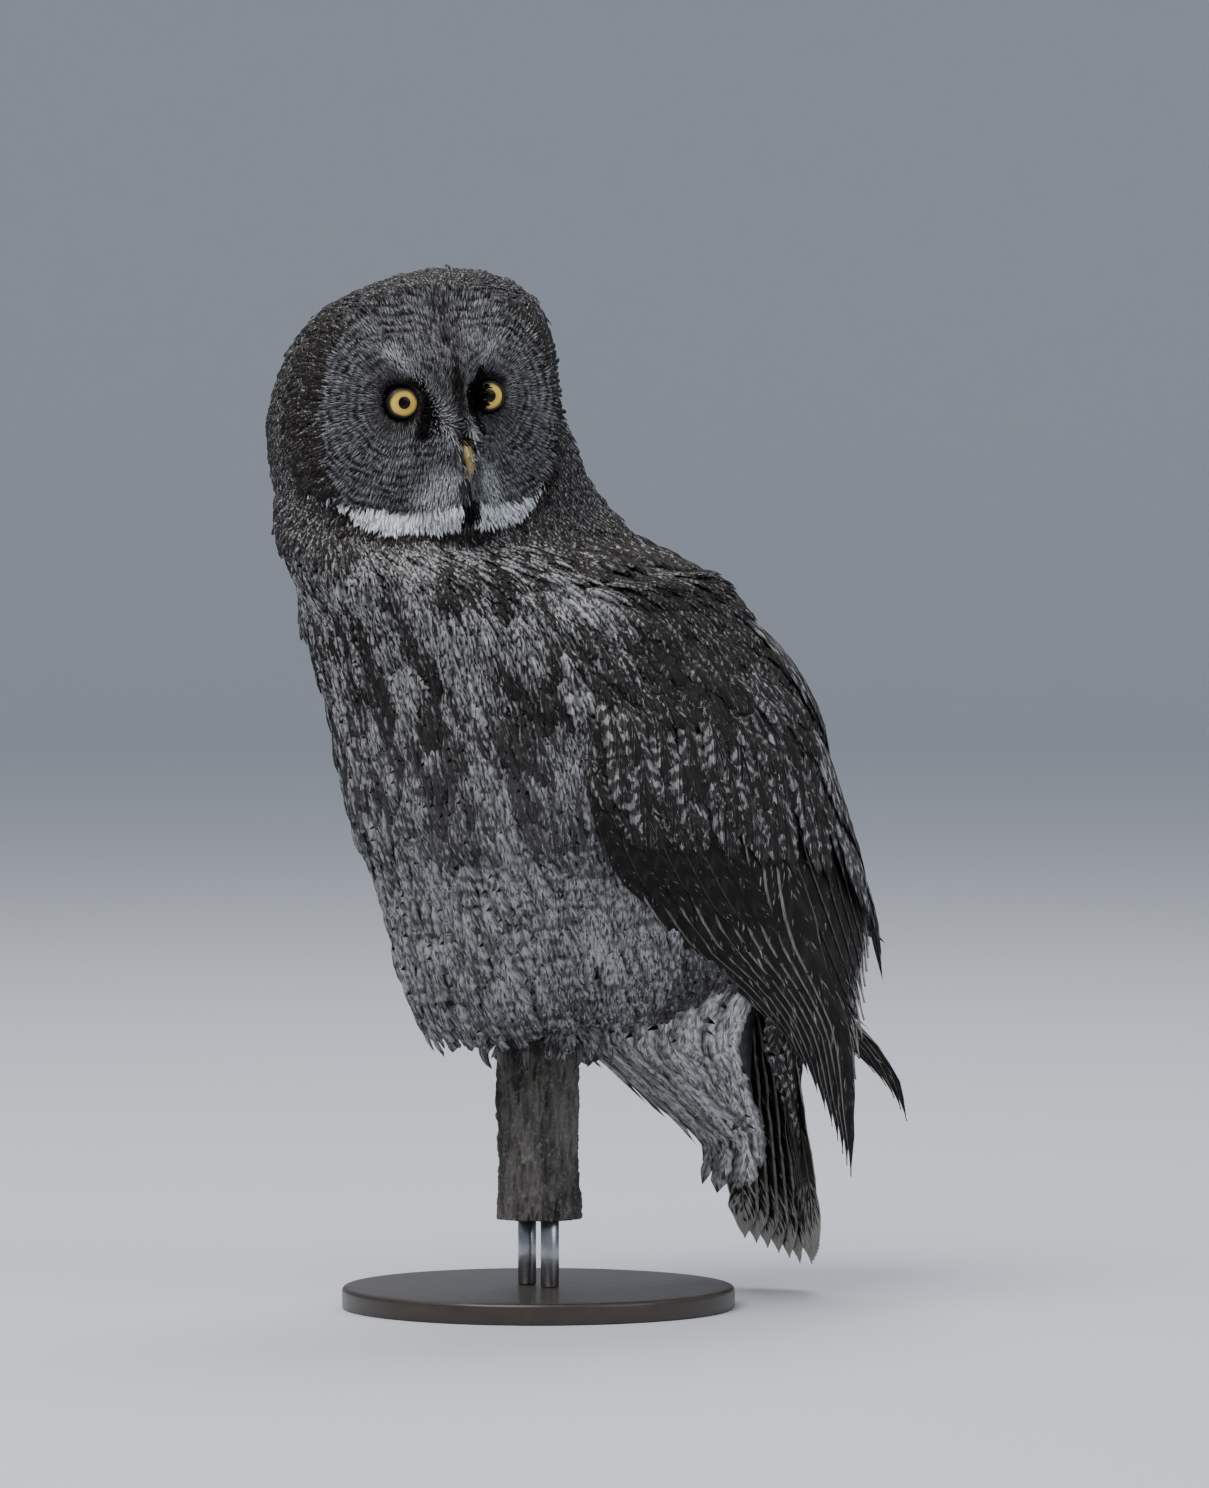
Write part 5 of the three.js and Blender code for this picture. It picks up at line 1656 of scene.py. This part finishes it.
def bark_finish():
    """Grey bark in dark cracked plates, with fine pale grain and flecks of lichen and moss."""
    finish = Finish("bark")
    place = finish.place()
    x, y, z = finish.apart(place)
    plates = finish.noise(finish.together(x * 90, y * 90, z * 22), detail=8.0, roughness=0.65)
    fine = finish.noise(place, 420, 4.0)
    colour = finish.mix(plates.between(0.35, 0.62), (0.028, 0.024, 0.022, 1), (0.115, 0.105, 0.098, 1))
    colour = finish.mix(fine.between(0.5, 0.75) * 0.6, colour, (0.20, 0.19, 0.18, 1))
    lichen = finish.noise(place, 55, 5.0, 0.6).between(0.60, 0.68) * fine.between(0.35, 0.6)
    colour = finish.mix(lichen * 0.7, colour, (0.22, 0.24, 0.19, 1))
    moss = finish.noise(place, 38, 4.0, 0.6).between(0.66, 0.72) * fine.between(0.4, 0.7)
    colour = finish.mix(moss * 0.7, colour, (0.16, 0.12, 0.03, 1))
    return finish.surface(
        Base_Color=colour, Roughness=0.9, height=plates * 0.7 + fine * 0.3, bump=0.7, depth=0.0012,
    )


piece_of("snag", *snag(), bark_finish(), "bark", "perch")

# The display stand.
# A turned disc of dark stained wood with a rounded edge, and two short rods of brushed steel. The rods stand
# on the disc and hold the perch, a hair short at both ends so that no faces meet.
BASE_RADIUS, BASE_HEIGHT, BASE_EDGE = 128, 14, 3
ROD_RADIUS, ROD_SIDE, ROD_CHAMFER, ROD_GAP = 6.0, 13, 0.4, 0.3


def turned(profile, around, x=0):
    """A form turned round an upright line at x, from radii and heights along its outline."""
    radii, heights = np.array(profile).T
    last = len(profile) - 1

    def place(share, angle):
        spot = share * last
        r, z = (np.interp(spot, range(last + 1), sizes) for sizes in (radii, heights))
        return np.stack([x + r * np.sin(angle), -r * np.cos(angle), z], axis=-1)

    return globe(around, last, place)


wood = Finish("stained wood")
x, y, z = wood.apart(wood.place())
wood_grain = wood.noise(wood.together(x * 8, y * 130, z * 90), detail=6.0)
wood_finish = wood.surface(
    Base_Color=wood.mix(wood_grain, (0.016, 0.011, 0.008, 1), (0.055, 0.037, 0.026, 1)),
    Roughness=wood_grain * 0.15 + 0.38, Coat_Weight=0.25, height=wood_grain, bump=0.12, depth=0.0003,
)
steel = Finish("brushed steel")
x, y, z = steel.apart(steel.place())
brushed = steel.noise(steel.together(x * 60, y * 60, z * 4000), detail=2.0)
steel_finish = steel.surface(Base_Color=(0.42, 0.43, 0.44, 1), Metallic=1.0, Roughness=brushed * 0.15 + 0.22)
base_outline = [
    (0.0, 0.0), (BASE_RADIUS - 1.5, 0.0), (BASE_RADIUS - 0.4, 0.5), (BASE_RADIUS, 1.6),
    *[
        (BASE_RADIUS - BASE_EDGE + BASE_EDGE * math.cos(a), BASE_HEIGHT - BASE_EDGE + BASE_EDGE * math.sin(a))
        for a in np.radians(np.linspace(0, 90, 8))
    ],
    (BASE_RADIUS - 14, BASE_HEIGHT), (0.0, BASE_HEIGHT),
]
piece_of("base_disc", *turned(base_outline, 160), wood_finish, "base", "stand_base")
low, high, end_radius = BASE_HEIGHT + ROD_GAP, PERCH_BOTTOM - ROD_GAP, ROD_RADIUS - ROD_CHAMFER
rod_outline = [
    (0, low), (end_radius, low), (ROD_RADIUS, low + ROD_CHAMFER), (ROD_RADIUS, high - ROD_CHAMFER),
    (end_radius, high), (0, high),
]
for k, x in ((1, ROD_SIDE), (2, -ROD_SIDE)):
    piece_of(f"rod_{k}", *turned(rod_outline, 48, x), steel_finish, "rod", f"stand_rod_{k}")

# The floor, the light and the camera.
# A pale studio floor curves up into a low wall round the whole scene. Three soft discs of light and a bluish
# sky light it, and a camera with a long lens looks from the photo's side. Sizes here are in metres.
PHOTO_MIDDLE = (0.0247, 0.0352, 0.367)
CAMERA = {"azimuth": 55.0, "elevation": 2.5, "distance": 7.0, "height_seen": 0.967}
FLOOR_RADIUS, WALL_CURVE, WALL_HEIGHT = 8.5, 3.5, 7.0


def toward(azimuth, elevation):
    """The way to a place seen at this azimuth and elevation in degrees."""
    a, e = math.radians(azimuth), math.radians(elevation)
    return np.array([math.sin(a) * math.cos(e), -math.cos(a) * math.cos(e), math.sin(e)])


def floor_mesh():
    """A round studio floor that curves up into a low wall."""
    turn = np.linspace(0, math.pi / 2, 12)
    reach = np.r_[0.3, 3.0, FLOOR_RADIUS, FLOOR_RADIUS + WALL_CURVE * np.sin(turn), FLOOR_RADIUS + WALL_CURVE]
    rise = np.r_[0.0, 0.0, 0.0, WALL_CURVE * (1 - np.cos(turn)), WALL_HEIGHT]
    angle = np.linspace(0, 2 * math.pi, 96, endpoint=False)
    way = np.stack([np.cos(angle), np.sin(angle), 0 * angle], axis=1)
    rings = [r * way + (0, 0, height) for r, height in zip(reach, rise)]
    points = np.vstack([np.zeros((1, 3)), *rings]) / MM
    return mesh_of("studio floor", points, np.vstack(ringed(len(angle), len(rings))))


floor = shown("studio_floor", floor_mesh())
floor_finish = Finish("pale floor")
floor.data.materials.append(floor_finish.surface(Base_Color=(0.62, 0.64, 0.68, 1), Roughness=0.9))


def aimed(name, data, azimuth, elevation, distance):
    """Stands a lamp or camera off the middle of the photo and turns it there."""
    thing = shown(name, data)
    away = toward(azimuth, elevation)
    thing.location = np.array(PHOTO_MIDDLE) + away * distance
    thing.rotation_mode = "QUATERNION"
    thing.rotation_quaternion = (-Vector(away)).to_track_quat("-Z", "Y")
    return thing


for name, azimuth, elevation, distance, size, power, colour in (
    ("key light", 20, 55, 4.0, 3.0, 150, (1.0, 0.98, 0.95)),
    ("fill light", 110, 25, 4.5, 3.0, 50, (0.92, 0.96, 1.0)),
    ("top light", 230, 60, 4.0, 2.5, 90, (0.95, 0.98, 1.0)),
):
    light = bpy.data.lights.new(name, "AREA")
    light.shape = "DISK"
    light.size = size
    light.energy = power
    light.color = colour
    aimed(name, light, azimuth, elevation, distance)
world = bpy.data.worlds.new("studio air")
world.use_nodes = True
sky = world.node_tree.nodes["Background"].inputs
sky["Color"].default_value = (0.72, 0.78, 0.88, 1)
sky["Strength"].default_value = 0.55
bpy.context.scene.world = world

camera = bpy.data.cameras.new("camera")
camera.lens = 36 * CAMERA["distance"] / CAMERA["height_seen"]
camera.clip_start, camera.clip_end = 0.1, 60
viewer = aimed("camera", camera, CAMERA["azimuth"], CAMERA["elevation"], CAMERA["distance"])
bpy.context.scene.camera = viewer
